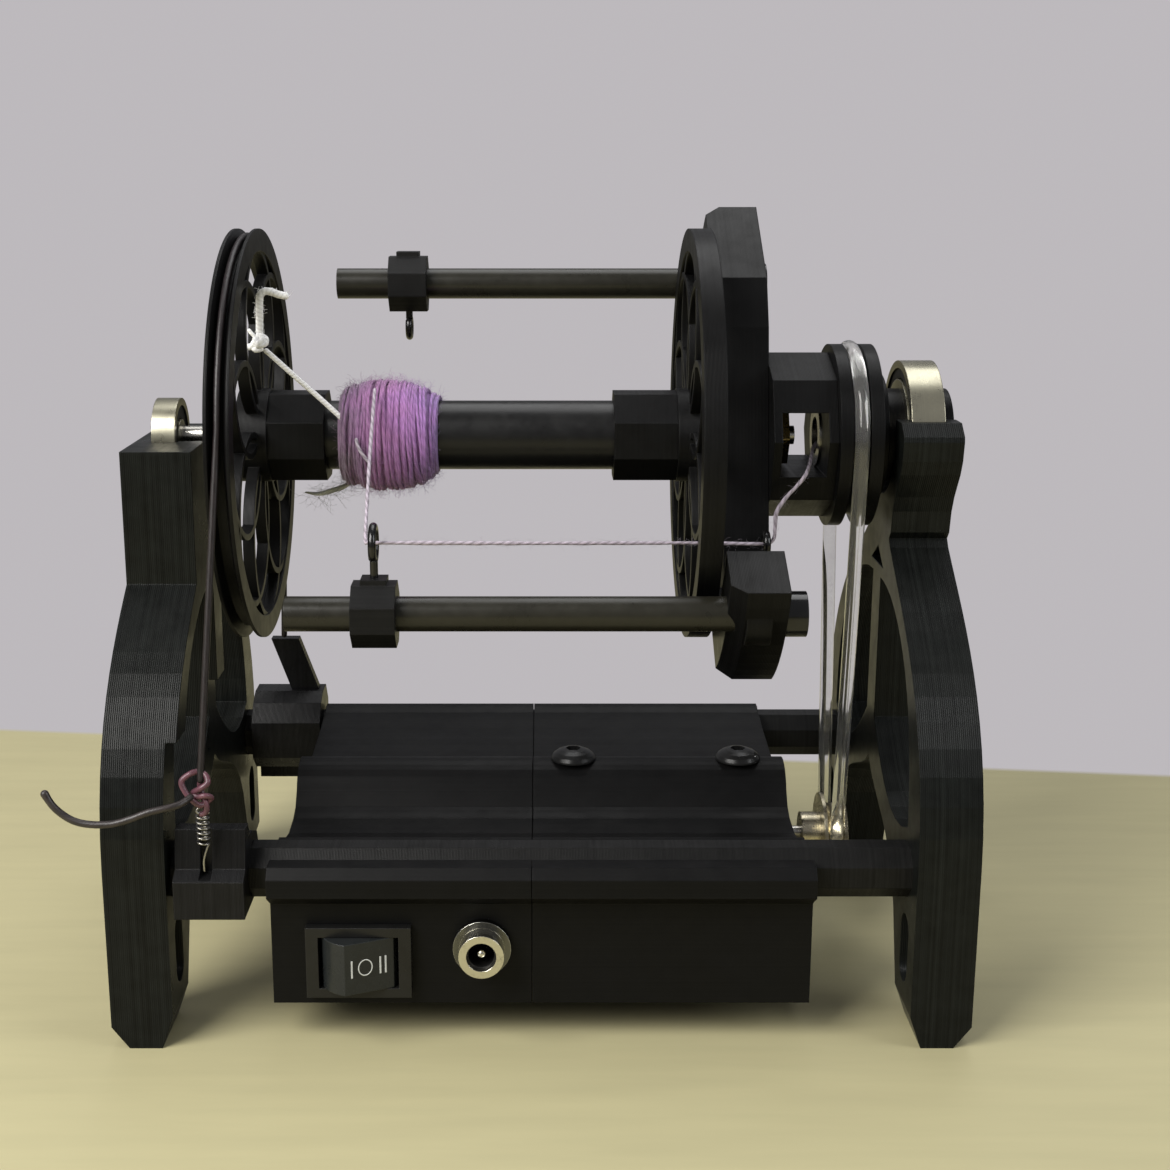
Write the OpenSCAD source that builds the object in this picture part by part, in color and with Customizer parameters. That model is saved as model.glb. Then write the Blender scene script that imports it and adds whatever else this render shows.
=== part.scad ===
// Electric yarn spinner: two end frames joined by two rods, a motor case clipped between the rods,
// and a belt-driven flyer that turns round a free-running bobbin with a cord brake.
// X runs along the flyer axis, Y away from the switch side, Z up; the origin is on the table.

/* [Stand] */
// Length over the outer faces of the two end frames
stand_length = 172.6; // [166:0.2:200]
// Depth of an end frame over its feet
frame_depth = 107; // [100:0.5:124]
// Thickness of an end frame
frame_thick = 12.4; // [11:0.2:16]
// Extra thickness on the inside of the left frame's upper part
cradle_extra = 2.2; // [0.6:0.2:3]
// Height of the flyer axis above the table
axis_height = 116.45; // [108:0.05:130]
// Width of the strip between the frame's outline and its openings
strip_width = 10; // [7:0.5:13]
// Width of the upright rib between the two openings
rib_width = 8; // [5:0.5:12]
// Width of a foot at the table, along X
foot_pad = 6.6; // [5:0.2:9]
// Height of the sloped edges under a foot
foot_bevel = 4.6; // [2:0.2:6]
// Across flats of the two octagonal rods
rod_flats = 10.5; // [8:0.1:12]
// Height of the rods' centres
rod_height = 34.6; // [32:0.1:40]
// Distance of a rod's centre in from the frame's front or back
rod_inset = 10.1; // [8:0.1:12]
// Depth of a rod's socket in the frame
rod_socket = 6; // [3:0.5:9]

/* [Bearings] */
// Outer diameter of the left bearing
left_bearing_od = 16; // [13:0.5:19]
// Width of the left bearing
left_bearing_width = 5; // [4:0.5:6]
// Outer diameter of the right bearing
right_bearing_od = 32; // [28:0.5:34]
// Width of the right bearing
right_bearing_width = 7; // [5:0.5:8]

/* [Motor case] */
// Gap between the motor case and an end frame
case_gap = 19.9; // [19:0.1:22]
// X of the seam between its two halves
case_seam = -2; // [-8:0.5:8]
// Height of the case's underside
case_bottom = 8.5; // [6:0.5:12]
// Distance of the front wall in front of the rod's centre
case_proud = 7.1; // [6.1:0.1:8.6]
// Wall of the case
case_wall = 2.4; // [1.6:0.1:3]
// Diameter of the motor
motor_diameter = 24.4; // [20:0.2:25]
// Length of the motor
motor_length = 31; // [24:0.5:38]
// Height of the motor's shaft
motor_height = 25; // [24:0.1:26]
// Diameter of the motor's shaft
motor_shaft_diameter = 3; // [2:0.1:4]
// Width of the switch's bezel
switch_width = 21; // [19:0.5:23]
// Height of the switch's bezel
switch_height = 15; // [13:0.5:16]
// Distance of the switch's middle from the case's left end
switch_inset = 17.5; // [15:0.5:20]
// Travel of the rocker from one end to the other, degrees
rocker_travel = 46; // [30:1:50]
// Distance of the power jack from the seam
jack_inset = 9.9; // [8:0.1:12]
// Diameter of the jack's barrel
jack_diameter = 9; // [8:0.1:10]

/* [Drive] */
// Outer radius of the flyer's pulley
pulley_radius = 19.5; // [16:0.1:24]
// Outer radius of the motor's pulley
motor_pulley_radius = 9.1; // [7:0.1:11]
// Diameter of the round belt
belt_diameter = 3; // [2:0.1:3.6]
// Height that the belt stands proud of a pulley's rim
belt_proud = 0.8; // [0.2:0.1:1.2]
// Distance of the belt from the right bearing's middle
belt_inset = 14.2; // [13.6:0.1:15]

/* [Flyer] */
// Distance of the flyer body's outer face from the belt
flyer_inset = 17.9; // [17.5:0.1:19]
// Thickness of the flyer's bar
flyer_thick = 9.5; // [7:0.5:11]
// Extra thickness of the bar's end blocks on the bobbin side
flyer_block = 2; // [1:0.2:2.4]
// Width of the flyer's ends beyond the arms' middle
flyer_rim = 4.8; // [4:0.1:6.5]
// Diameter of a flyer arm
arm_diameter = 7; // [6:0.1:8]
// Gap between an arm and the bobbin's flanges
arm_gap = 1.6; // [1.2:0.1:3]
// Angle of the arms' plane from upright, top leaning away
arm_angle = 52; // [48:1:56]
// Distance of the back arm's free end from the left bearing's middle
back_arm_inset = 32.4; // [28:0.1:38]
// Distance of the front arm's free end from the left bearing's middle
front_arm_inset = 29.3; // [26:0.1:38]
// Circumscribed radius of the octagonal cage
cage_radius = 17.7; // [14:0.1:19]
// Diameter of the steel shaft
shaft_diameter = 4; // [3.4:0.1:5]
// Diameter of the orifice tube
orifice_diameter = 20; // [16:0.5:22]
// Bore of the orifice tube
orifice_bore = 10; // [8:0.5:12]

/* [Bobbin] */
// Distance of the bobbin's left end from the left bearing's middle
bobbin_inset = 15.5; // [14.8:0.1:17]
// Diameter of the bobbin's flanges
flange_diameter = 87.4; // [80:0.2:88]
// Thickness of the grooved left flange
left_flange_thick = 5; // [4.4:0.1:6]
// Thickness of the right flange
right_flange_thick = 4.5; // [3:0.1:5.5]
// Outer diameter of the bobbin's tube
tube_diameter = 14.8; // [13:0.1:17]
// Across flats of the octagonal collars
collar_flats = 18.5; // [18:0.1:20]
// Length of the left collar
left_collar = 12; // [8:0.5:14]
// Length of the right collar
right_collar = 13.5; // [8:0.5:15]
// Depth of the brake groove
groove_depth = 2.5; // [2:0.1:3]
// Rounds in a flange's lattice
lattice_count = 8; // [6:1:10]
// Width of a lattice rib
lattice_rib = 1.3; // [1:0.1:1.8]

/* [Yarn] */
// Diameter of the wound yarn at its middle
yarn_diameter = 24.6; // [22:0.1:28]
// Length of the winding
yarn_length = 22; // [20:0.5:26]
// Thickness of one yarn
yarn_thick = 0.9; // [0.7:0.05:0.95]
// Turns in the outer layer
yarn_turns = 16; // [12:1:17]

/* [Brake] */
// Width of the tension clip
clip_width = 13.9; // [10:0.1:15]
// Thickness of the brake cord
cord_thick = 1.4; // [1:0.1:1.6]
// Curls in the tension spring
spring_curls = 6; // [4:1:8]

/* [Hidden] */
$fn = 64;

// Clearances
seat_gap = 0.05;      // round seats and running fits
soft_gap = 0.3;       // a cord or the belt from what turns beside it
cut = 1;              // length by which a cutter runs past a face

// Stand
half_length = stand_length / 2;
frame_inner = half_length - frame_thick;
bearing_x = half_length - frame_thick / 2;
half_depth = frame_depth / 2;
rod_offset = half_depth - rod_inset;
neck_half = 12.3;               // half width of the right frame's neck
neck_z = axis_height - 21;      // height of the notch round the neck
cradle_half = 21;               // half width of the block under each bearing
cradle_foot = axis_height - 29; // where the left cradle's sides end
arch_foot = half_depth - 15.5;  // half width of the opening between the feet
rod_round = rod_flats / 2 / cos(22.5);

// Bearings
race_gap = 0.3;                 // between a bearing's two rings
race_wall = 1.4;                // thickness of a bearing's inner ring, left
orifice_wall = 2;               // the same, right

// Case
case_length = 2 * (frame_inner - case_gap);
case_front = rod_offset + case_proud;
switch_x = switch_inset - case_length / 2;
jack_x = case_seam - jack_inset;
rear_clip_radius = rod_round + 1.5;
lip_y = case_front + 4.5;       // the lip in front of the front rod
lip_z = rod_height - 1.6;
lip_top = rod_height + 4.2;
channel_radius = rod_round + 0.25;
dome_y = -3.5;                  // the rounded rise along the middle
dome_radius = 8;
dome_top = 44;
plate_front = 37.6;             // the plate behind the dome, at its front and back edges
plate_back = 39.6;
screw_xs = [case_seam + 9.1, case_length / 2 - 10.1];
screw_head = 5;
switch_z = 18.1;
switch_depth = 15;
rocker_half = switch_width / 2 - 2.65; // radius of the rocker's ends about its pin
rocker_face = 5.9;              // distance of its flat face from the pin
rocker_tall = switch_height - 4.2;
rocker_pivot = case_front - 1.9;
rocker_pin = 1.1;
jack_z = 21;
motor_nose = case_length / 2 - case_wall;

// Drive
belt_x = bearing_x - belt_inset;
boss_x = case_length / 2 + 5;   // where the motor pulley's boss begins
drive_pitch = pulley_radius + belt_proud - belt_diameter / 2;
motor_pitch = motor_pulley_radius + belt_proud - belt_diameter / 2;
pulley_distance = axis_height - motor_height;
belt_lean = asin((drive_pitch - motor_pitch) / pulley_distance);
rim = 3;                        // thickness of the drive pulley's rims
pulley_half = belt_diameter / 2 + soft_gap + rim - 0.3;

// Flyer
flyer_x = belt_x - flyer_inset;
arm_radius = (flange_diameter + arm_diameter) / 2 + arm_gap;
flyer_radius = arm_radius + flyer_rim;
cage_x = flyer_x;
cage_length = belt_x - pulley_half - cage_x;
slot_half = 6.7;
nut_thick = 3;
flyer_lean = 13.3;              // lean of the bar from upright
bar_half = 8.6;
block_from = 27;                // the end blocks' two edges, degrees from upright
block_to = 64;
block_inner = 40.5;             // the end blocks' inner radius
arm_y = arm_radius * sin(arm_angle);
arm_z = arm_radius * cos(arm_angle);
cap_radius = 4.55;
cap_length = 7.3;
boss_radius = 6.25;
slider_flats = 12.6;
slider_length = 8.8;
hook_radius = 3.4;
hook_wire = 0.8;

// Bobbin
bobbin_end = flyer_x - flyer_thick - flyer_block - 1;
bobbin_start = -bearing_x + bobbin_inset;
bobbin_length = bobbin_end - bobbin_start;
flange_radius = flange_diameter / 2;
flange_rim = 4.7;
groove_x = bobbin_start + left_flange_thick / 2;
lattice_radius = 17.6;
lattice_centre = flange_radius - flange_rim - lattice_radius + 0.6;
lattice_thick = 2.4;
bobbin_bore = shaft_diameter / 2 + seat_gap;
tube_wall = 1.4;
hub_radius = 10;
hub_thick = 6.6;
yarn_middle = bobbin_start + 32.05;
yarn_end_radius = 9;
back_slider_x = yarn_middle + 1.45;
front_slider_x = yarn_middle - 0.45;

// Cords: points along each route, chosen by hand
cord_radius = cord_thick / 2;
wrap_radius = flange_radius - groove_depth + soft_gap + cord_radius;
knot = [7.9 - frame_inner, -rod_offset - 10.6, 55];
anchor = [9.9 - frame_inner, rod_offset - 0.4, 59.4];
// From the knot
tail_points = [for (p = [
    [-1.2, -1.4, -0.4], [-3.6, -4.6, -1.2], [-8.6, -6, -2], [-15.4, -6.4, -4.2],
    [-22, -6.4, -4], [-26.4, -6, -1.4], [-28.8, -5.6, 2.2]
  ]) knot + p];
// From the middle of the winding to the front hook, then from the flyer's face to the orifice;
// Z counts from the flyer axis
strand_points = concat(
  [for (p = [
    [-2.35, -9.2, 11.15], [-2.35, -23.6, -1.75], [-2.05, -37.4, -14.25], [-1.45, -38.6, -15.45],
    [-0.05, -38.4, -15.65], [4.55, -37.6, -15.85], [32.55, -30, -17.55]
  ]) [p[0] + yarn_middle, p[1], p[2] + axis_height]],
  [for (p = [
    [-18, -22.2, -19.15], [-4, -18.5, -20.15], [-1.1, -17.6, -20.35], [0.5, -17.2, -19.3],
    [0.7, -17.3, -16.4], [0.9, -17.4, -13.6], [2.7, -17, -10.75], [5.3, -16.5, -8], [6.9, -15.9, -6],
    [8.3, -11.6, -4.6], [9.4, -7, -3.4], [10.5, -2.8, -2.2], [12.4, -1.2, -1], [18, -0.6, -0.25],
    [38, 0, -0.25]
  ]) [p[0] + flyer_x, p[1], p[2] + axis_height]]
);
// From the bobbin's left end and the axis
leader_points = [for (p = [
    [22.4, -7.8, 8.15], [19.2, -7.4, 9.75], [12.6, -5.8, 14.15], [7, -4.4, 19.15],
    [6.4, -4.2, 21.55], [6.4, -4.6, 24.75], [7, -4.8, 27.95], [8.6, -4.4, 29.95],
    [10.6, -4, 30.95], [12, -3.6, 30.95]
  ]) p + [bobbin_start, 0, axis_height]];

echo(winding_gap_mm = yarn_length / yarn_turns - yarn_thick);
echo(spring_gap_mm = spring_pitch - spring_wire);

// ---------------------------------------------------------------- helpers

// Turns a drawing in (Y, Z) and its thickness to the world: local x is Y, y is Z, z is X
module yz() rotate([90, 0, 90]) children();

// A prism of thickness t along X from x0, with its outline in (Y, Z)
module plate(x0, t, points) translate([x0, 0, 0]) yz() linear_extrude(t) polygon(points);

// A round bar along X
module bar_x(x0, length, r, y = 0, z = 0, n = 64)
  translate([x0, y, z]) rotate([0, 90, 0]) cylinder(h = length, r = r, $fn = n);

// A regular octagonal bar along X with flats up and down
module octagon_x(x0, length, flats, y = 0, z = 0)
  translate([x0, y, z]) yz() rotate([0, 0, 22.5]) cylinder(h = length, r = flats / 2 / cos(22.5), $fn = 8);

// A tube along X
module tube_x(x0, length, outer, inner) difference() {
  bar_x(x0, length, outer);
  bar_x(x0 - cut, length + 2 * cut, inner);
}

// A cubic curve through p[0] and p[3], steered by p[1] and p[2]
function curve_at(p, t) = pow(1 - t, 3) * p[0] + 3 * pow(1 - t, 2) * t * p[1]
  + 3 * (1 - t) * t * t * p[2] + pow(t, 3) * p[3];
function curve(p, n) = [for (i = [0:n]) curve_at(p, i / n)];
function mirrored(points) = [for (i = [len(points) - 1:-1:0]) [-points[i][0], points[i][1]]];
function arc(r, a0, a1, n) = [for (i = [0:n]) let (a = a0 + (a1 - a0) * i / n) [r * sin(a), r * cos(a)]];

function unit(v) = v / norm(v);
function along(p, i) = unit(p[min(i + 1, len(p) - 1)] - p[max(i - 1, 0)]);
// A smooth route through hand-chosen points, with n steps between two of them
function smooth_at(p, i, t) = let (
    a = p[max(i - 1, 0)],
    b = p[i],
    c = p[i + 1],
    d = p[min(i + 2, len(p) - 1)]
  ) 0.5 * (2 * b + (c - a) * t + (2 * a - 5 * b + 4 * c - d) * t * t + (3 * b - a - 3 * c + d) * t * t * t);
function smooth(p, n) = concat(
  [for (i = [0:len(p) - 2]) for (k = [0:n - 1]) smooth_at(p, i, k / n)],
  [p[len(p) - 1]]
);

// Points spaced evenly between two others
function between(a, b, n) = [for (i = [1:n]) a + (b - a) * i / (n + 1)];

// A closed tube swept along points; reference is a direction that the route never follows
module sweep(points, r, sides, reference) {
  count = len(points);
  rings = [for (i = [0:count - 1])
    let (t = along(points, i), u = unit(cross(t, reference)), v = cross(u, t))
    for (k = [0:sides - 1]) points[i] + r * (cos(360 * k / sides) * u + sin(360 * k / sides) * v)];
  walls = [for (i = [0:count - 2]) for (k = [0:sides - 1])
    let (a = i * sides + k, b = i * sides + (k + 1) % sides)
    each [[a, b, b + sides], [a, b + sides, a + sides]]];
  last = (count - 1) * sides;
  caps = concat(
    [for (k = [1:sides - 2]) [0, k + 1, k]],
    [for (k = [1:sides - 2]) [last, last + k, last + k + 1]]
  );
  polyhedron(points = rings, faces = concat(walls, caps), convexity = 10);
}

// The same for a route that closes on itself, with no end caps
module loop_tube(points, r, sides, reference) {
  count = len(points);
  rings = [for (i = [0:count - 1])
    let (
      t = unit(points[(i + 1) % count] - points[(i + count - 1) % count]),
      u = unit(cross(t, reference)),
      v = cross(u, t)
    )
    for (k = [0:sides - 1]) points[i] + r * (cos(360 * k / sides) * u + sin(360 * k / sides) * v)];
  walls = [for (i = [0:count - 1]) for (k = [0:sides - 1])
    let (a = i * sides + k, b = i * sides + (k + 1) % sides, j = ((i + 1) % count) * sides)
    each [[a, b, j + (k + 1) % sides], [a, j + (k + 1) % sides, j + k]]];
  polyhedron(points = rings, faces = walls, convexity = 10);
}

// ---------------------------------------------------------------- end frames

side_curve = [
  [half_depth, 37.8], [half_depth, axis_height - 45.5],
  [neck_half + 15.7, axis_height - 33.6], [neck_half, neck_z - 1.3]
];
frame_side = concat([[half_depth, 0]], curve(side_curve, 14));
neck_side = [[neck_half - 1.6, neck_z + 0.4], [neck_half, neck_z + 2]];
horn_curve = [
  [neck_half, neck_z + 2], [neck_half + 1, axis_height - 8], [cradle_half, axis_height - 8],
  [cradle_half + 0.2, axis_height + 1.5]
];
horn_side = concat(curve(horn_curve, 6), [[cradle_half, axis_height + 2.6], [17.8, axis_height + 5.05]]);

// One of the two tall openings: along the outer strip, back above the arch and up the rib
lens_top = [rib_width / 2, axis_height - 30.6];
lens_tip = [half_depth - strip_width - 1.2, rod_height + rod_round + 2.6];
lens_outer = [
  lens_top, [lens_top[0] + 18, lens_top[1] + 0.5],
  [half_depth - strip_width - 1, axis_height - 44], lens_tip
];
lens_lower = [
  lens_tip, [half_depth - 28, lens_tip[1] - 8], [rib_width / 2 + 9, lens_tip[1] + 3],
  [rib_width / 2, lens_tip[1] + 11]
];
lens = concat(curve(lens_outer, 14), curve(lens_lower, 8));

// The pointed opening between the feet
arch_upper = [
  [arch_foot - 5.5, 22.5], [arch_foot - 13, lens_tip[1] - 5], [8, lens_tip[1] - 7],
  [0, lens_tip[1] + 1]
];
arch = concat([[arch_foot, -cut], [arch_foot, 7]], curve(arch_upper, 8));
peak_window = [[6.5, neck_z - 7.2], [0, neck_z - 3.2], [-6.5, neck_z - 7.2]];

module frame_openings(x0, t) {
  plate(x0, t, lens);
  plate(x0, t, mirrored(lens));
  plate(x0, t, concat(arch, mirrored(arch)));
  plate(x0, t, peak_window);
  for (side = [-1, 1]) {
    round_slot(x0, t, side * (half_depth - 9), 10.5, 25, 3.4);
  }
}

// An upright slot with round ends, through a plate
module round_slot(x0, t, y, z0, z1, r) {
  bar_x(x0, t, r, y, z0 + r);
  bar_x(x0, t, r, y, z1 - r);
  translate([x0, y - r, z0 + r]) cube([t, 2 * r, z1 - z0 - 2 * r]);
}

// The foot seen from the front: its sides slope in to the pad
module foot_section(side) {
  inner = side * frame_inner;
  outer = side * half_length;
  pad_inner = side * (frame_inner + (frame_thick - foot_pad) * 0.4);
  pad_outer = side * (half_length - (frame_thick - foot_pad) * 0.6);
  translate([0, frame_depth, 0]) rotate([90, 0, 0]) linear_extrude(2 * frame_depth)
    polygon([
      [pad_inner, 0], [inner, foot_bevel + 2], [inner, 2 * axis_height],
      [outer, 2 * axis_height], [outer, foot_bevel], [pad_outer, 0]
    ]);
}

module rod_sockets(side) for (y = [-rod_offset, rod_offset])
  octagon_x(min(side * frame_inner, side * (frame_inner + rod_socket)), rod_socket, rod_flats,
    y, rod_height);

module left_frame() color("#1c1d1f") difference() {
  union() {
    intersection() {
      union() {
        plate(-half_length, frame_thick, concat(frame_side, mirrored(frame_side)));
        translate([-half_length, -cradle_half, cradle_foot])
          cube([frame_thick, 2 * cradle_half, axis_height - 0.45 - cradle_foot]);
      }
      foot_section(-1);
    }
    difference() {
      union() {
        plate(-frame_inner, cradle_extra, concat(frame_side, mirrored(frame_side)));
        translate([-frame_inner, -cradle_half, cradle_foot])
          cube([cradle_extra, 2 * cradle_half, axis_height - 0.45 - cradle_foot]);
      }
      translate([-frame_inner - cut, -frame_depth, -cut])
        cube([cradle_extra + 2 * cut, 2 * frame_depth, axis_height - 54 + cut]);
    }
  }
  frame_openings(-half_length - cut, frame_thick + cradle_extra + 2 * cut);
  rod_sockets(-1);
  left_seat();
}

// Half-round seat of the left bearing and the slot for the shaft
module left_seat() {
  bar_x(-bearing_x - left_bearing_width / 2 - 0.1, left_bearing_width + 0.2,
    left_bearing_od / 2 + seat_gap, 0, axis_height);
  bar_x(-bearing_x, frame_thick / 2 + cradle_extra + cut, left_bearing_od / 2 - 2, 0, axis_height);
}

module right_frame() color("#1c1d1f") difference() {
  intersection() {
    plate(frame_inner, frame_thick, concat(
      frame_side, neck_side, horn_side, mirrored(horn_side), mirrored(neck_side), mirrored(frame_side)
    ));
    foot_section(1);
  }
  frame_openings(frame_inner - cut, frame_thick + 2 * cut);
  rod_sockets(1);
  right_seat();
}

// U-shaped seat of the right bearing, open at the top
module right_seat() {
  r = right_bearing_od / 2 + seat_gap;
  hole = orifice_diameter / 2 + 2.5;
  half = right_bearing_width / 2 + 0.1;
  bar_x(bearing_x - half, 2 * half, r, 0, axis_height);
  translate([bearing_x - half, -r, axis_height]) cube([2 * half, 2 * r, r]);
  bar_x(frame_inner - cut, frame_thick + 2 * cut, hole, 0, axis_height);
  translate([frame_inner - cut, -hole, axis_height]) cube([frame_thick + 2 * cut, 2 * hole, r]);
}

module front_rod() color("#202123")
  octagon_x(-frame_inner - rod_socket, 2 * (frame_inner + rod_socket), rod_flats, -rod_offset, rod_height);

module rear_rod() color("#202123")
  octagon_x(-frame_inner - rod_socket, 2 * (frame_inner + rod_socket), rod_flats, rod_offset, rod_height);

// ---------------------------------------------------------------- motor case

// The case's section, drawn w inside its outer face
dome_arc = [for (a = [-68:12:58]) [sin(a), cos(a)]];
function case_section(w) = concat(
  [[-case_front + w, case_bottom + w]],
  w == 0
    ? [[-case_front, rod_height - 4.6], [-lip_y, lip_z], [-lip_y, lip_top - 2], [-lip_y + 1.8, lip_top],
       [-rod_offset, lip_top], [-rod_offset + 7, lip_top - 0.4], [-rod_offset + 8.4, lip_top - 1.4]]
    : [[-case_front + w, rod_height - channel_radius - w],
       [-rod_offset + rod_round + w, rod_height - channel_radius - w]],
  [[-29, 35.2 - w], [-24, 34.3 - w], [-17, 34.9 - w], [-13.4, 36.2 - w]],
  [for (p = dome_arc) [dome_y, dome_top - dome_radius] + (dome_radius - w) * p],
  [[7, plate_front - w], [31, plate_back - w]],
  w == 0
    ? concat([[35.6, 40.4]],
       [for (a = [-30:20:90]) [rod_offset, rod_height] + rear_clip_radius * [sin(a), cos(a)]],
       [[rod_offset + rear_clip_radius, rod_height - 4.6], [case_front - 0.6, rod_height - 8]])
    : [[rod_offset - rod_round - w - 1.5, rod_height - 2],
       [rod_offset - 2, rod_height - rod_round - w - 2.4],
       [case_front - w - 0.6, rod_height - rod_round - w - 2.4]],
  [[case_front - w - 0.6, case_bottom + w]]
);

module case_half(x0, x1, wall_left, wall_right) difference() {
  plate(x0, x1 - x0, case_section(0));
  plate(x0 + wall_left, x1 - x0 - wall_left - wall_right, case_section(case_wall));
  octagon_channel(x0 - cut, x1 - x0 + 2 * cut);
}

// Open channel over the front rod, closed passage round the rear one
module octagon_channel(x0, length) {
  bar_x(x0, length, channel_radius, -rod_offset, rod_height);
  translate([x0, -rod_offset - channel_radius, rod_height])
    cube([length, 2 * channel_radius, 2 * rod_flats]);
  bar_x(x0, length, channel_radius, rod_offset, rod_height);
}

module control_housing() color("#17181a") difference() {
  case_half(-case_length / 2, case_seam, case_wall, -cut);
  switch_cutout();
  translate([jack_x, -case_front - cut, jack_z]) rotate([-90, 0, 0])
    cylinder(h = case_wall + 2 * cut, r = jack_diameter / 2);
}

module switch_cutout()
  translate([switch_x - rocker_half - 0.85, -case_front - cut, switch_z - rocker_tall / 2 - 0.65])
    cube([2 * rocker_half + 1.7, case_wall + 2 * cut, rocker_tall + 1.3]);

module motor_housing() color("#17181a") difference() {
  case_half(case_seam + 0.15, case_length / 2, -cut, case_wall);
  bar_x(motor_nose - cut, case_wall + 2 * cut, 5 + seat_gap, 0, motor_height);
  for (x = screw_xs) translate([x, dome_y, 20]) cylinder(h = 40, r = 1.6);
}

module housing_screws() color("#141414") for (x = screw_xs) translate([x, dome_y, 0]) difference() {
  union() {
    translate([0, 0, dome_top - 6]) cylinder(h = 6.2, r = 1.5);
    translate([0, 0, dome_top]) rotate_extrude()
      polygon(concat([[0, 0], [screw_head, 0]],
        [for (a = [10:16:90]) [screw_head * cos(a), 2.6 * sin(a)]]));
  }
  translate([0, 0, dome_top + 1]) cylinder(h = 3, r = 1.75, $fn = 6);
}

module motor_can() color("#9a9c9e") difference() {
  union() {
    bar_x(motor_nose - motor_length, motor_length, motor_diameter / 2, 0, motor_height);
    bar_x(motor_nose - cut, case_wall + cut - 0.2, 5, 0, motor_height);
    bar_x(motor_nose - motor_length - 2, 3, 5, 0, motor_height);
  }
  bar_x(motor_nose - motor_length - 3, motor_length + case_wall + 4,
    motor_shaft_diameter / 2 + seat_gap, 0, motor_height);
}

module motor_shaft() color("#c8c8c6")
  bar_x(motor_nose - motor_length - 1, belt_x + 4 - motor_nose + motor_length, motor_shaft_diameter / 2,
    0, motor_height);

// Brass pulley: a boss for its set screw, and a grooved wheel
module motor_pulley() color("#cdbf9c") difference() {
  union() {
    bar_x(boss_x, belt_x - boss_x, 4.7, 0, motor_height);
    bar_x(belt_x - 2.6, 5.2, motor_pulley_radius, 0, motor_height);
  }
  translate([belt_x, 0, motor_height]) belt_groove(motor_pitch);
  bar_x(boss_x - cut, 20, motor_shaft_diameter / 2, 0, motor_height);
}

// The groove of a pulley: round at the belt's seat and open outwards
module belt_groove(pitch) rotate([0, 90, 0]) rotate_extrude() {
  translate([pitch, 0]) circle(r = belt_diameter / 2 + soft_gap, $fn = 48);
  translate([pitch, -belt_diameter / 2 - soft_gap]) square([8, belt_diameter + 2 * soft_gap]);
}

// Round belt in the plane X = belt_x: one closed loop over both pulleys
belt_arc_steps = 26;
belt_run_steps = 8;
function belt_point(z, pitch, a) = [belt_x, pitch * cos(a), z + pitch * sin(a)];
function belt_turn(z, pitch, a0, span, n) = [for (i = [0:n]) belt_point(z, pitch, a0 + span * i / n)];
belt_upper = belt_turn(axis_height, drive_pitch, -belt_lean, 180 + 2 * belt_lean, belt_arc_steps);
belt_lower = belt_turn(motor_height, motor_pitch, 180 + belt_lean, 180 - 2 * belt_lean, belt_arc_steps - 8);
belt_path = concat(
  belt_upper,
  between(belt_upper[len(belt_upper) - 1], belt_lower[0], belt_run_steps),
  belt_lower,
  between(belt_lower[len(belt_lower) - 1], belt_upper[0], belt_run_steps)
);
module drive_belt() color([0.82, 0.82, 0.8, 0.6]) loop_tube(belt_path, belt_diameter / 2, 12, [1, 0, 0]);

module switch_body() color("#101112") difference() {
  union() {
    translate([switch_x - switch_width / 2, -case_front - 2, switch_z - switch_height / 2])
      cube([switch_width, 2, switch_height]);
    translate([switch_x - rocker_half - 0.8, -case_front - 0.1, switch_z - rocker_tall / 2 - 0.6])
      cube([2 * rocker_half + 1.6, switch_depth, rocker_tall + 1.2]);
  }
  translate([switch_x, -rocker_pivot, switch_z - rocker_tall / 2 - 0.1])
    cylinder(h = rocker_tall + 0.2, r = rocker_half + 0.15);
  translate([switch_x - rocker_half - 0.15, -case_front - 3, switch_z - rocker_tall / 2 - 0.1])
    cube([2 * rocker_half + 0.3, 3 + case_front - rocker_pivot, rocker_tall + 0.2]);
  translate([switch_x, -rocker_pivot, switch_z - rocker_tall / 2 - 0.45])
    cylinder(h = rocker_tall + 0.9, r = rocker_pin + seat_gap);
}

// Rocker: one flat face, and ends that are round about its pin; its left end stands out
module switch_rocker() color("#232629") translate([switch_x, -rocker_pivot, switch_z])
  rotate([0, 0, rocker_travel / 2]) union() {
    intersection() {
      translate([-rocker_half, -rocker_face, -rocker_tall / 2])
        cube([2 * rocker_half, rocker_face + 4.2, rocker_tall]);
      translate([0, 0, -rocker_tall]) cylinder(h = 2 * rocker_tall, r = rocker_half - 0.05);
    }
    translate([0, 0, -rocker_tall / 2 - 0.4]) cylinder(h = rocker_tall + 0.8, r = rocker_pin);
  }

module jack_barrel() color("#d8d7cf") translate([jack_x, 0, jack_z]) rotate([90, 0, 0]) difference() {
  translate([0, 0, case_front - 10]) cylinder(h = 15.5, r = jack_diameter / 2);
  translate([0, 0, case_front - 4]) cylinder(h = 20, r = jack_diameter / 2 - 1.5);
}

module jack_nut() color("#e2e1da") translate([jack_x, 0, jack_z]) rotate([90, 0, 0]) difference() {
  translate([0, 0, case_front]) cylinder(h = 1.7, r = jack_diameter / 2 + 1.3);
  translate([0, 0, case_front - 1]) cylinder(h = 4, r = jack_diameter / 2);
}

module jack_pin() color("#e6e5de") translate([jack_x, 0, jack_z]) rotate([90, 0, 0]) union() {
  translate([0, 0, case_front - 4]) cylinder(h = 7.4, r = 1);
  translate([0, 0, case_front + 3.4]) sphere(r = 1);
}

// ---------------------------------------------------------------- bearings

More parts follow.
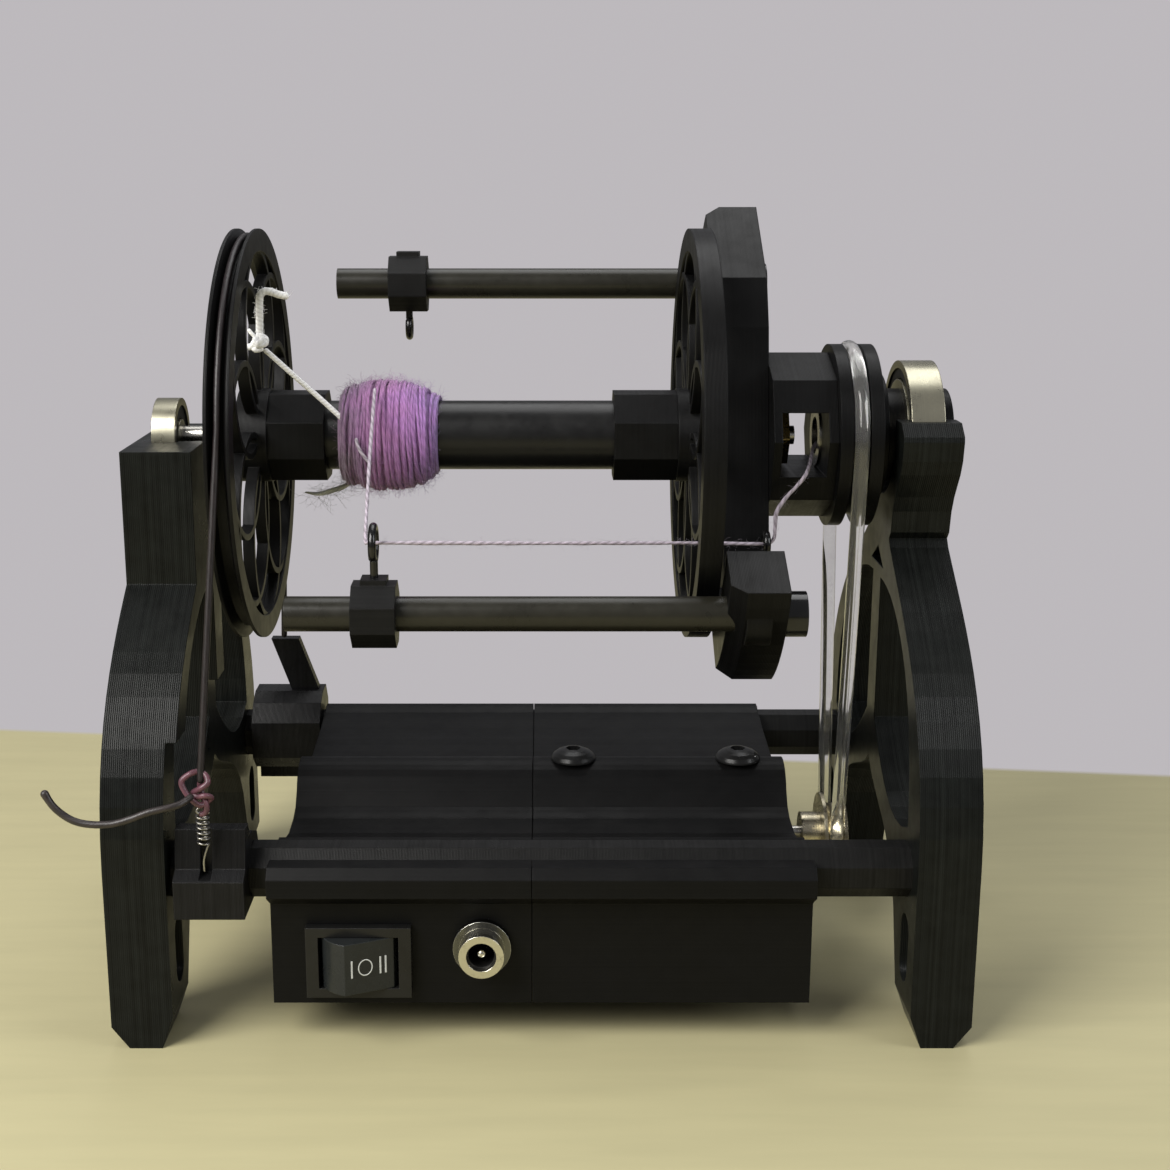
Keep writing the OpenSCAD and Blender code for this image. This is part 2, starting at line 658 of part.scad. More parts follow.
module race_outer(x, od, width, inner) difference() {
  tube_x(x - width / 2, width, od / 2, inner + race_gap);
  for (end = [-1, 1])
    translate([end * width / 2, 0, 0]) tube_x(x - 0.4, 0.8, od / 2 - 1.6, inner - cut);
}

module left_bearing_outer() color("#c9c4a8") translate([0, 0, axis_height])
  race_outer(-bearing_x, left_bearing_od, left_bearing_width, shaft_diameter / 2 + race_wall);

module left_bearing_inner() color("#d6d3c4") translate([0, 0, axis_height])
  tube_x(-bearing_x - left_bearing_width / 2, left_bearing_width, shaft_diameter / 2 + race_wall,
    shaft_diameter / 2);

module right_bearing_outer() color("#c9c4a8") translate([0, 0, axis_height])
  race_outer(bearing_x, right_bearing_od, right_bearing_width, orifice_diameter / 2 + orifice_wall);

module right_bearing_inner() color("#d6d3c4") translate([0, 0, axis_height])
  tube_x(bearing_x - right_bearing_width / 2, right_bearing_width, orifice_diameter / 2 + orifice_wall,
    orifice_diameter / 2);

// ---------------------------------------------------------------- flyer

module flyer_shaft() color("#cfcfcc")
  bar_x(-bearing_x - left_bearing_width / 2 + 0.2, bearing_x + left_bearing_width / 2 - 0.2 + flyer_x
    + nut_thick + 3.4, shaft_diameter / 2, 0, axis_height);

module shaft_nut() color("#c2a24a") translate([flyer_x + 1.8, 0, axis_height]) yz() difference() {
  cylinder(h = nut_thick, r = 6.6, $fn = 6);
  translate([0, 0, -cut]) cylinder(h = nut_thick + 2 * cut, r = shaft_diameter / 2);
}

// Half of the bar's outline in (Y, Z) about the axis, from the back edge over the top to the front
function lean(p) = [p[0] * cos(flyer_lean) + p[1] * sin(flyer_lean),
  p[1] * cos(flyer_lean) - p[0] * sin(flyer_lean)];
half_bar = concat(
  [lean([bar_half, 0]), lean([bar_half, 33])],
  arc(block_inner, flyer_lean + 26, block_to, 5),
  arc(flyer_radius, block_to, block_from, 9),
  [lean([-bar_half + 3, 33]), lean([-bar_half, 22])]
);
bar_outline = concat(half_bar, [for (p = half_bar) -p]);
end_block = concat(
  arc(block_inner, flyer_lean + 26, block_to, 5),
  arc(flyer_radius, block_to, block_from, 9),
  [lean([-bar_half + 3, 33]), lean([bar_half, 33])]
);

module flyer_body() color("#191a1c") translate([0, 0, axis_height]) difference() {
  union() {
    plate(flyer_x - flyer_thick, flyer_thick, bar_outline);
    plate(flyer_x - flyer_thick - flyer_block, flyer_block + 1, end_block);
    plate(flyer_x - flyer_thick - flyer_block, flyer_block + 1, [for (p = end_block) -p]);
    for (side = [-1, 1]) bar_x(flyer_x - 8, 5, boss_radius, side * arm_y, side * arm_z);
  }
  bar_x(flyer_x - 2 * flyer_thick, 4 * flyer_thick, shaft_diameter / 2);
  for (side = [-1, 1])
    bar_x(flyer_x - 2 * flyer_thick, 4 * flyer_thick, arm_diameter / 2, side * arm_y, side * arm_z);
  translate(hook_seat) rotate([90, 0, 0]) cylinder(h = 8, r = hook_wire, $fn = 24);
  edge_bevel();
}

// Bevel round the ends' outer edge on the bobbin side
module edge_bevel() translate([flyer_x - flyer_thick - flyer_block, 0, 0]) rotate([0, 90, 0])
  rotate_extrude($fn = 96) polygon([
    [flyer_radius - 2.6, -0.01], [flyer_radius + 4, -0.01],
    [flyer_radius + 4, 3.2], [flyer_radius + 0.02, 3.2]
  ]);

// Octagonal cage with a slot right through, where the yarn enters
module flyer_cage() color("#191a1c") translate([cage_x, 0, axis_height]) difference() {
  yz() rotate([0, 0, 87]) cylinder(h = cage_length, r = cage_radius, $fn = 8);
  translate([1.8, -2 * cage_radius, -slot_half]) cube([cage_length - 3.8, 4 * cage_radius, 2 * slot_half]);
  yz() translate([0, 0, -cut]) cylinder(h = 4, r = shaft_diameter / 2);
  yz() translate([0, 0, cage_length - 4]) cylinder(h = 6, r = 6.6);
}

module drive_pulley() color("#17181a") translate([0, 0, axis_height]) difference() {
  union() {
    bar_x(belt_x - pulley_half, 2 * pulley_half, pulley_radius, n = 96);
    bar_x(belt_x + pulley_half - cut, 3.2, orifice_diameter / 2 + 3.4);
  }
  translate([belt_x, 0, 0]) belt_groove(drive_pitch);
  bar_x(belt_x - 2 * pulley_half, 4 * pulley_half, orifice_diameter / 2);
}

module orifice_tube() color("#1a1b1d") translate([0, 0, axis_height])
  tube_x(belt_x - pulley_half, half_length + 0.5 - belt_x + pulley_half, orifice_diameter / 2,
    orifice_bore / 2);

// Metal eye that lines the mouth of the orifice
module orifice_bushing() color("#c6c8c4") translate([0, 0, axis_height]) difference() {
  union() {
    bar_x(belt_x - pulley_half - 2.4, 2.4, 6.6);
    bar_x(belt_x - pulley_half - 0.1, 4, orifice_bore / 2);
  }
  bar_x(belt_x - 2 * pulley_half - 8, 30, orifice_bore / 2 - 1);
}

module flyer_arm(side, inset) color("#26251f")
  bar_x(-bearing_x + inset, flyer_x + bearing_x - inset, arm_diameter / 2, side * arm_y,
    axis_height + side * arm_z);

module back_arm() flyer_arm(1, back_arm_inset);
module front_arm() flyer_arm(-1, front_arm_inset);

// Round cap pressed over the arm's end, split on one side
module arm_cap(side) color("#1b1c1e") difference() {
  bar_x(flyer_x, cap_length - 3, cap_radius, side * arm_y, axis_height + side * arm_z);
  translate([flyer_x + 1.6, side * (arm_y + 3.6) - 0.5, axis_height + side * arm_z - 0.4])
    cube([6, 1, 0.8]);
}

module back_arm_cap() arm_cap(1);
module front_arm_cap() arm_cap(-1);

// Eight-sided slider with a hole for the arm
module slider(x, side)
  translate([x - slider_length / 2, side * arm_y, axis_height + side * arm_z]) difference() {
    union() {
      octagon_x(0, slider_length, slider_flats);
      translate([slider_length / 2 - 2.6, -2.6, 0]) cube([5.2, 5.2, slider_flats / 2 + 1.1]);
    }
    bar_x(-cut, slider_length + 2 * cut, arm_diameter / 2 + seat_gap);
  }

module back_slider() color("#1b1c1e") slider(back_slider_x, 1);
module front_slider() color("#1b1c1e") slider(front_slider_x, -1);

// Cup hook: an open ring on a stem that stands on the slider, drawn upright with its stem's foot at 0
module cup_hook(r, stem) union() {
  cylinder(h = stem, r = hook_wire, $fn = 24);
  translate([0, 0, stem + r]) yz() rotate([0, 0, -90])
    rotate_extrude(angle = 315, $fn = 48) translate([r, 0]) circle(r = hook_wire, $fn = 24);
}

module front_hook() color("#151515")
  translate([front_slider_x, -arm_y, axis_height - arm_z + slider_flats / 2 + 1.1])
    cup_hook(hook_radius, 3.4);

module back_hook() color("#151515")
  translate([back_slider_x, arm_y, axis_height + arm_z - slider_flats / 2]) mirror([0, 0, 1])
    cup_hook(2.2, 1.6);

// Small hook screwed into the front edge of the flyer's bar
hook_seat = [flyer_x - 1.1, -11.6, -20.5];
module body_hook() color("#151515")
  translate([0, 0, axis_height]) translate(hook_seat) rotate([90, 0, 0]) cup_hook(2.2, 3.2);

// ---------------------------------------------------------------- bobbin

// Interlaced rounds between the hub and the rim
module lattice(x0) intersection() {
  union() {
    for (i = [0:lattice_count - 1]) rotate([i * 360 / lattice_count, 0, 0])
      translate([0, 0, lattice_centre]) tube_x(x0, lattice_thick, lattice_radius + lattice_rib / 2,
        lattice_radius - lattice_rib / 2);
  }
  bar_x(x0 - cut, lattice_thick + 2 * cut, flange_radius - flange_rim / 2);
}

module bobbin_left_flange() color("#161718") translate([0, 0, axis_height]) difference() {
  union() {
    tube_x(bobbin_start, left_flange_thick, flange_radius, flange_radius - flange_rim);
    lattice(bobbin_start + left_flange_thick - 0.3 - lattice_thick);
    bar_x(bobbin_start, hub_thick, hub_radius);
  }
  bar_x(bobbin_start - cut, hub_thick + 2 * cut, bobbin_bore);
  brake_groove();
}

module brake_groove() translate([groove_x, 0, 0]) rotate([0, 90, 0]) rotate_extrude($fn = 96)
  polygon([
    [flange_radius - groove_depth, -1], [flange_radius + cut, -2.2], [flange_radius + cut, 2.2],
    [flange_radius - groove_depth, 1]
  ]);

module bobbin_right_flange() color("#161718") translate([0, 0, axis_height]) difference() {
  union() {
    tube_x(bobbin_end - right_flange_thick, right_flange_thick, flange_radius, flange_radius - flange_rim);
    lattice(bobbin_end - right_flange_thick + 0.3);
    bar_x(bobbin_end - hub_thick, hub_thick, hub_radius);
  }
  bar_x(bobbin_end - hub_thick - cut, hub_thick + 2 * cut, bobbin_bore);
}

// Octagonal collar that holds the tube's end against a flange
module bobbin_collar(x0, length) color("#161718") translate([0, 0, axis_height]) difference() {
  octagon_x(x0, length, collar_flats);
  bar_x(x0 - cut, length + 2 * cut, tube_diameter / 2);
}

module bobbin_left_collar() bobbin_collar(bobbin_start + hub_thick, left_collar);
module bobbin_right_collar() bobbin_collar(bobbin_end - hub_thick - right_collar, right_collar);

module bobbin_tube() color("#141516") translate([0, 0, axis_height])
  tube_x(bobbin_start + hub_thick, bobbin_length - 2 * hub_thick, tube_diameter / 2,
    tube_diameter / 2 - tube_wall);

// Radius of the wound yarn at a distance s from its middle, s from -1 to 1
function ball_radius(s) = yarn_end_radius + (yarn_diameter / 2 - yarn_end_radius) * pow(1 - s * s, 0.6);

module yarn_core() color("#9c86b8") translate([yarn_middle, 0, axis_height]) rotate([0, 90, 0])
  rotate_extrude($fn = 48) polygon(concat(
    [for (i = [-8:8]) [ball_radius(i / 8) - yarn_thick - 0.3, i / 8 * yarn_length / 2]],
    [[tube_diameter / 2, yarn_length / 2], [tube_diameter / 2, -yarn_length / 2]]
  ));

// The outer layer: one yarn wound side by side over the core
winding_rings = yarn_turns * 24;
function winding_at(i) = let (
    s = 2 * i / winding_rings - 1,
    a = 360 * i / 24,
    r = ball_radius(s * 0.98) - yarn_thick / 2
  ) [yarn_middle + s * (yarn_length - yarn_thick) / 2, r * sin(a), axis_height + r * cos(a)];
winding = [for (i = [0:winding_rings]) winding_at(i)];

module yarn_winding() color("#a98fc9") sweep(winding, yarn_thick / 2, 6, [1, 0, 0]);
module yarn_leader() color("#ece9e2") sweep(smooth(leader_points, 2), 0.6, 8, [0, 1, 0]);
module yarn_strand() color("#b7a6cf") sweep(smooth(strand_points, 3), yarn_thick / 2, 8, [0, -1, 1]);

// ---------------------------------------------------------------- brake

// Clip on the front rod: a split ring with a jaw in front and a leaning tab on top
clip_x = -frame_inner + 1.7;
clip_section = [
  [-11.6, -6], [-11.6, 1.8], [-8.8, 3.4], [-7.2, 11.2], [-4, 11.2], [-2.2, 8], [0, 8.2], [5.6, 5.8],
  [8, 0], [7, -3.4], [4, -3.4], [0, -6]
];

module tension_clip() color("#1d1e20") difference() {
  plate(clip_x, clip_width, [for (p = clip_section) p + [-rod_offset, rod_height]]);
  bar_x(clip_x - cut, clip_width + 2 * cut, rod_round + seat_gap, -rod_offset, rod_height);
  translate([clip_x - cut, -rod_offset + 1.4, rod_height - 9]) cube([clip_width + 2 * cut, 3.2, 9]);
  translate([knot[0] - 1.2, -rod_offset - 12, rod_height + 2]) cube([2.4, 5.4, 12]);
}

spring_wire = 0.5;
spring_pitch = 1.05;
spring_radius = 1.5;
spring_rings = spring_curls * 8;
spring_foot = knot[2] - 4.6 - spring_curls * spring_pitch;
function spring_at(i) = [
  knot[0] + spring_radius * cos(45 * i), knot[1] + 0.6 + spring_radius * sin(45 * i),
  spring_foot + spring_pitch * i / 8
];
spring_path = concat(
  [[knot[0], knot[1] + 0.2, rod_height + 3.6], [knot[0], knot[1] + 0.2, rod_height + 6],
   [knot[0] + 0.6, knot[1] + 0.5, spring_foot - 0.9]],
  [for (i = [0:spring_rings]) spring_at(i)],
  [knot + [0.4, 0.9, -4.5], knot + [-0.5, 0.9, -3.9], knot + [-0.5, 1, -2.9]]
);
module tension_spring() color("#c9cac8") sweep(spring_path, spring_wire / 2, 6, [0.2, 0.4, 1]);

// Brake cord: from the knot over the flange's groove to the rear anchor
function bearing_of(y, z) = atan2(z, y);
front_dir = bearing_of(knot[1], knot[2] - axis_height);
front_tangent = front_dir + 360 - acos(wrap_radius / norm([knot[1], knot[2] - axis_height]));
rear_dir = bearing_of(anchor[1], anchor[2] - axis_height);
rear_tangent = rear_dir + acos(wrap_radius / norm([anchor[1], anchor[2] - axis_height]));
wrap_steps = 34;
function wrap_point(a) = [groove_x, wrap_radius * cos(a), axis_height + wrap_radius * sin(a)];
wrap_arc = [for (i = [0:wrap_steps])
  wrap_point(front_tangent + (rear_tangent - front_tangent) * i / wrap_steps)];
cord_start = knot + [0, 0, 2.1];
cord_path = concat([cord_start], between(cord_start, wrap_arc[0], 10), wrap_arc,
  between(wrap_arc[wrap_steps], anchor, 10), [anchor]);

module brake_cord() color("#5a2436") sweep(cord_path, cord_radius, 8, [1, 0, 0]);

// An overhand knot drawn tight, as one tube that crosses itself by a rule
knot_steps = 40;
function knot_at(a) = knot
  + 1.45 * [sin(a) + 1.5 * sin(2 * a), -0.9 * sin(3 * a), cos(a) - 1.5 * cos(2 * a)];
knot_path = [for (i = [0:knot_steps - 1]) knot_at(360 * i / knot_steps)];
module cord_knot() color("#6b2c42") loop_tube(knot_path, cord_radius * 0.75, 8, [0.1, 1, 0.15]);

module brake_cord_tail() color("#2d2326") sweep(smooth(tail_points, 2), cord_radius, 8, [0, 1, 0.2]);

// Bracket clipped on the rear rod, with a leaning flat bar that holds the cord's end
bracket_x = -frame_inner + 2.3;
bracket_width = 16.9;
bracket_section = [
  [-8.4, -4], [-8.4, 5], [-5, 9.2], [-1, 11.1], [5, 11.1], [8.6, 6.4], [8.6, -12.6], [2, -12.6], [2, -7.8],
  [-4, -7.8]
];

module rear_bracket() color("#1d1e20") difference() {
  plate(bracket_x, bracket_width, [for (p = bracket_section) p + [rod_offset, rod_height]]);
  octagon_x(bracket_x - cut, bracket_width + 2 * cut, rod_flats, rod_offset, rod_height);
}

bar_foot = [bracket_x + bracket_width - 4.6, rod_offset + 2, rod_height + 11.1];
bar_top = [anchor[0], rod_offset + 2, anchor[2] - 0.6];
module bracket_bar() color("#1d1e20")
  translate([0, bar_foot[1] + 1.5, 0]) rotate([90, 0, 0]) linear_extrude(3)
    polygon([
      [bar_foot[0] - 3.4, bar_foot[2]], [bar_foot[0] + 3.4, bar_foot[2]],
      [bar_top[0] + 3.4, bar_top[2]], [bar_top[0] - 3.4, bar_top[2]]
    ]);

// ---------------------------------------------------------------- parts

left_frame();
right_frame();
front_rod();
rear_rod();
control_housing();
motor_housing();
housing_screws();
motor_can();
motor_shaft();
motor_pulley();
drive_belt();
switch_body();
switch_rocker();
jack_barrel();
jack_nut();
jack_pin();
left_bearing_outer();
left_bearing_inner();
right_bearing_outer();
right_bearing_inner();
flyer_shaft();
shaft_nut();
flyer_body();
flyer_cage();
drive_pulley();
orifice_tube();
orifice_bushing();
back_arm();
front_arm();
back_arm_cap();
front_arm_cap();
back_slider();
front_slider();
back_hook();
front_hook();
body_hook();
bobbin_left_flange();
bobbin_right_flange();
bobbin_left_collar();
bobbin_right_collar();
bobbin_tube();
yarn_core();
yarn_winding();
yarn_leader();
yarn_strand();
tension_clip();
tension_spring();
brake_cord();
cord_knot();
brake_cord_tail();
rear_bracket();
bracket_bar();
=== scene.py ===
"""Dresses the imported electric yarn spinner: a finish for each solid, and its soft pieces.

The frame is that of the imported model: X runs along the flyer axis, Y away from the switch side
and Z up. Meshes, finishes and the studio are in metres. The sizes that a sub-assembly holds and
the points of a Route are in millimetres, and MM turns them into metres.
"""

import logging
import math
import random
from dataclasses import dataclass, field, replace
from enum import Enum
from typing import Callable, Mapping, Sequence

import bpy
import numpy as np
from mathutils import Matrix, Vector


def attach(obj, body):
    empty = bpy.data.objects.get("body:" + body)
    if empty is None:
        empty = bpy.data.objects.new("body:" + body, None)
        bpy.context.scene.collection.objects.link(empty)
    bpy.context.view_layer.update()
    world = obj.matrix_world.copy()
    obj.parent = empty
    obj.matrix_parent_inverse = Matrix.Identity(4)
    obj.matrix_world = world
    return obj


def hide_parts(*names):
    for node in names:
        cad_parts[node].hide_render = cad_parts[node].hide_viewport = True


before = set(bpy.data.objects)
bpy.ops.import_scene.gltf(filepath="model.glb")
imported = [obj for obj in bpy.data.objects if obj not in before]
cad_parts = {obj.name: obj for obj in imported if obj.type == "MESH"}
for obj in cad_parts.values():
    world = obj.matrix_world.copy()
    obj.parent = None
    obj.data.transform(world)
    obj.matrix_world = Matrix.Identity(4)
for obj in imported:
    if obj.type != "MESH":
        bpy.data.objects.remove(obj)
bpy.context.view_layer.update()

LOG = logging.getLogger("yarn_spinner")
MM = 0.001
AXIS_Z = 116.45
FLYER_AXIS = (0.0, 0.0, AXIS_Z * MM)
Colour = tuple[float, float, float]
Point = tuple[float, float, float]
DUST_TONE: Colour = (0.19, 0.18, 0.165)


# ------------------------------------------------------------------ node trees


class Graph:
    """A node tree, with short calls that add a node and wire its inputs."""

    def __init__(self, tree: bpy.types.NodeTree) -> None:
        """Starts on an existing tree."""
        self.tree = tree

    def feed(self, node: bpy.types.Node, inputs: Mapping[int | str, object]) -> None:
        """Links or sets some of a node's inputs.

        Args:
            node: The node.
            inputs: Sockets to link from, or values to set, by input name or index.
        """
        for key, value in inputs.items():
            if isinstance(value, bpy.types.NodeSocket):
                self.tree.links.new(value, node.inputs[key])
            else:
                node.inputs[key].default_value = value

    def add(
        self, kind: str, inputs: Mapping[int | str, object] | None = None, **settings: object
    ) -> bpy.types.Node:
        """Adds a node.

        Args:
            kind: The node's type name.
            inputs: Sockets to link from, or values to set, by input name or index.
            settings: Properties of the node itself.

        Returns:
            The new node.
        """
        node = self.tree.nodes.new(kind)
        for name, value in settings.items():
            setattr(node, name, value)
        self.feed(node, inputs or {})
        return node

    def math(self, operation: str, *values: object) -> bpy.types.NodeSocket:
        """Adds a math node over one to three values and returns its result."""
        return self.add("ShaderNodeMath", dict(enumerate(values)), operation=operation).outputs[0]

    def vector(self, operation: str, *values: object) -> bpy.types.NodeSocket:
        """Adds a vector math node and returns its vector, or its number for a length or a dot."""
        node = self.add("ShaderNodeVectorMath", dict(enumerate(values)), operation=operation)
        return node.outputs[1 if operation in {"DOT_PRODUCT", "LENGTH"} else 0]

    def remap(
        self, value: object, low: float, high: float, to_low: float = 0.0, to_high: float = 1.0
    ) -> bpy.types.NodeSocket:
        """Maps a range of values on to another, clamped, and returns the result."""
        inputs = {0: value, 1: low, 2: high, 3: to_low, 4: to_high}
        return self.add("ShaderNodeMapRange", inputs, clamp=True).outputs[0]

    def noise(self, vector: object, scale: float, detail: float = 2.0) -> bpy.types.NodeSocket:
        """Adds a 3D noise texture and returns its value."""
        inputs = {"Vector": vector, "Scale": scale, "Detail": detail}
        return self.add("ShaderNodeTexNoise", inputs).outputs[0]

    def mix(self, amount: object, first: object, second: object) -> bpy.types.NodeSocket:
        """Mixes two colours, each a socket or a plain colour, and returns the result."""
        sides = [(*s, 1.0) if isinstance(s, tuple) and len(s) == 3 else s for s in (first, second)]
        inputs = {0: amount, 6: sides[0], 7: sides[1]}
        return self.add("ShaderNodeMix", inputs, data_type="RGBA").outputs[2]

    def bump(
        self,
        height: object,
        distance: float,
        strength: float,
        normal: bpy.types.NodeSocket | None = None,
    ) -> bpy.types.NodeSocket:
        """Adds a bump.

        Args:
            height: The height that it follows.
            distance: How high it stands, in metres.
            strength: How much of it shows.
            normal: The normal that it changes, or none for the surface's own.

        Returns:
            The new normal.
        """
        inputs = {"Height": height, "Distance": distance, "Strength": strength}
        if normal is not None:
            inputs["Normal"] = normal
        return self.add("ShaderNodeBump", inputs).outputs[0]


class Effect(Enum):
    """Surface effects that several finishes share, each one a node group."""

    LAYERS = "printed_layers"
    EDGES = "softened_edges"
    MOTTLE = "mottled_tone"
    DUST = "settled_dust"
    TWIST = "ply_twist"
    SEAL = "ring_mask"


class Effects:
    """Builds each shared node group once and places it in materials."""

    SOCKETS = {float: "NodeSocketFloat", tuple: "NodeSocketVector"}

    def __init__(self) -> None:
        """Starts with no group built."""
        self.trees: dict[Effect, bpy.types.NodeTree] = {}

    def _group(
        self, effect: Effect, inputs: Mapping[str, object], outputs: Mapping[str, type]
    ) -> tuple[Graph, Mapping[str, bpy.types.NodeSocket], bpy.types.Node]:
        """Makes an empty group with its sockets.

        Args:
            effect: The effect that the group is for.
            inputs: Default value of each input, which also gives its kind.
            outputs: Kind of each output.

        Returns:
            The group's graph, its inputs by name and its output node.
        """
        tree = bpy.data.node_groups.new(effect.value, "ShaderNodeTree")
        for name, value in inputs.items():
            kind = self.SOCKETS[type(value)]
            socket = tree.interface.new_socket(name, in_out="INPUT", socket_type=kind)
            socket.default_value = value
        for name, kind in outputs.items():
            tree.interface.new_socket(name, in_out="OUTPUT", socket_type=self.SOCKETS[kind])
        graph = Graph(tree)
        return graph, graph.add("NodeGroupInput").outputs, graph.add("NodeGroupOutput")

    def _layers(self) -> bpy.types.NodeTree:
        """Stacked layers of a print: rounded steps, and a tone that changes from layer to layer."""
        defaults = {"Vector": (0.0, 0.0, 0.0), "Direction": (1.0, 0.0, 0.0), "Pitch": 0.0003}
        kinds = {"Height": float, "Streak": float}
        graph, ins, outs = self._group(Effect.LAYERS, defaults, kinds)
        along = graph.vector("DOT_PRODUCT", ins["Vector"], ins["Direction"])
        waver = graph.noise(ins["Vector"], 90.0, 2.0)
        phase = graph.math("DIVIDE", along, ins["Pitch"])
        phase = graph.math("ADD", phase, graph.math("MULTIPLY", waver, 0.35))
        wave = graph.math("ABSOLUTE", graph.math("SINE", graph.math("MULTIPLY", phase, math.pi)))
        band = graph.add(
            "ShaderNodeTexNoise",
            {"W": graph.math("MULTIPLY", phase, 0.41), "Scale": 1.0, "Detail": 4.0},
            noise_dimensions="1D",
        ).outputs[0]
        broken = graph.noise(ins["Vector"], 260.0, 3.0)
        streak = graph.math("MULTIPLY_ADD", broken, 0.45, graph.math("MULTIPLY", band, 0.75))
        graph.feed(outs, {"Height": wave, "Streak": streak})
        return graph.tree

    def _edges(self) -> bpy.types.NodeTree:
        """A normal that rounds sharp edges, and a mask of those edges."""
        graph, ins, outs = self._group(
            Effect.EDGES, {"Radius": 0.0003}, {"Normal": tuple, "Edge": float}
        )
        round_off = graph.add("ShaderNodeBevel", {"Radius": ins["Radius"]}, samples=4).outputs[0]
        flat = graph.add("ShaderNodeNewGeometry").outputs["Normal"]
        alike = graph.vector("DOT_PRODUCT", round_off, flat)
        graph.feed(outs, {"Normal": round_off, "Edge": graph.remap(alike, 0.99, 0.8)})
        return graph.tree

    def _mottle(self) -> bpy.types.NodeTree:
        """Broad uneven tone, from 0 to 1 about a half."""
        defaults = {"Vector": (0.0, 0.0, 0.0), "Scale": 60.0}
        graph, ins, outs = self._group(Effect.MOTTLE, defaults, {"Value": float})
        broad = graph.noise(ins["Vector"], ins["Scale"], 3.0)
        fine = graph.noise(ins["Vector"], graph.math("MULTIPLY", ins["Scale"], 7.0), 2.0)
        both = graph.math("MULTIPLY_ADD", fine, 0.4, graph.math("MULTIPLY", broad, 0.6))
        graph.feed(outs, {"Value": graph.remap(both, 0.32, 0.68)})
        return graph.tree

    def _dust(self) -> bpy.types.NodeTree:
        """Fine dust that lies on faces which look up."""
        defaults = {"Vector": (0.0, 0.0, 0.0), "Amount": 0.2}
        graph, ins, outs = self._group(Effect.DUST, defaults, {"Mask": float})
        normal = graph.add("ShaderNodeTexCoord").outputs["Normal"]
        up = graph.vector("DOT_PRODUCT", normal, (0.0, 0.0, 1.0))
        specks = graph.remap(graph.noise(ins["Vector"], 2600.0, 1.0), 0.62, 0.72)
        drift = graph.remap(graph.noise(ins["Vector"], 140.0, 2.0), 0.4, 0.7, 0.1, 0.8)
        settled = graph.math("ADD", specks, drift)
        lying = graph.math("MULTIPLY", graph.remap(up, 0.35, 0.95), settled)
        graph.feed(outs, {"Mask": graph.math("MULTIPLY", lying, ins["Amount"])})
        return graph.tree

    def _twist(self) -> bpy.types.NodeTree:
        """Plies and fibres that wind round a strand, from its own lay attribute."""
        defaults = {"Lay": (1.0, 0.0, 0.0), "Pitch": 3.0, "Fibres": 2.0}
        graph, ins, outs = self._group(Effect.TWIST, defaults, {"Height": float, "Fibre": float})
        parts = graph.add("ShaderNodeSeparateXYZ", {0: ins["Lay"]}).outputs
        turn = graph.math("DIVIDE", graph.math("MULTIPLY", parts[2], 2 * math.pi), ins["Pitch"])
        cosine, sine = graph.math("COSINE", turn), graph.math("SINE", turn)
        first = graph.math(
            "SUBTRACT",
            graph.math("MULTIPLY", parts[0], cosine),
            graph.math("MULTIPLY", parts[1], sine),
        )
        second = graph.math(
            "ADD",
            graph.math("MULTIPLY", parts[1], cosine),
            graph.math("MULTIPLY", parts[0], sine),
        )
        ply = graph.math("SUBTRACT", 1.0, graph.math("MULTIPLY", first, first))
        slow = graph.math("MULTIPLY", parts[2], 0.16)
        seat = graph.add("ShaderNodeCombineXYZ", {0: first, 1: second, 2: slow}).outputs[0]
        fibre = graph.noise(seat, ins["Fibres"], 4.0)
        graph.feed(outs, {"Height": graph.math("SQRT", ply), "Fibre": fibre})
        return graph.tree

    def _seal(self) -> bpy.types.NodeTree:
        """A mask of a ring about an axis along X."""
        defaults = {"Vector": (0.0, 0.0, 0.0), "Centre": FLYER_AXIS, "Inner": 0.01, "Outer": 0.02}
        graph, ins, outs = self._group(Effect.SEAL, defaults, {"Mask": float})
        arm = graph.vector("SUBTRACT", ins["Vector"], ins["Centre"])
        reach = graph.vector("LENGTH", graph.vector("MULTIPLY", arm, (0.0, 1.0, 1.0)))
        outside = graph.math("GREATER_THAN", reach, ins["Inner"])
        inside = graph.math("LESS_THAN", reach, ins["Outer"])
        graph.feed(outs, {"Mask": graph.math("MULTIPLY", outside, inside)})
        return graph.tree

    def place(
        self, graph: Graph, effect: Effect, **values: object
    ) -> Mapping[str, bpy.types.NodeSocket]:
        """Puts an effect's group in a material.

        Args:
            graph: The material's graph.
            effect: The effect to place.
            values: The group's inputs by name.

        Returns:
            The group's outputs by name.
        """
        if effect not in self.trees:
            makers: dict[Effect, Callable[[], bpy.types.NodeTree]] = {
                Effect.LAYERS: self._layers,
                Effect.EDGES: self._edges,
                Effect.MOTTLE: self._mottle,
                Effect.DUST: self._dust,
                Effect.TWIST: self._twist,
                Effect.SEAL: self._seal,
            }
            self.trees[effect] = makers[effect]()
        return graph.add("ShaderNodeGroup", values, node_tree=self.trees[effect]).outputs


EFFECTS = Effects()


# ------------------------------------------------------------------ finishes


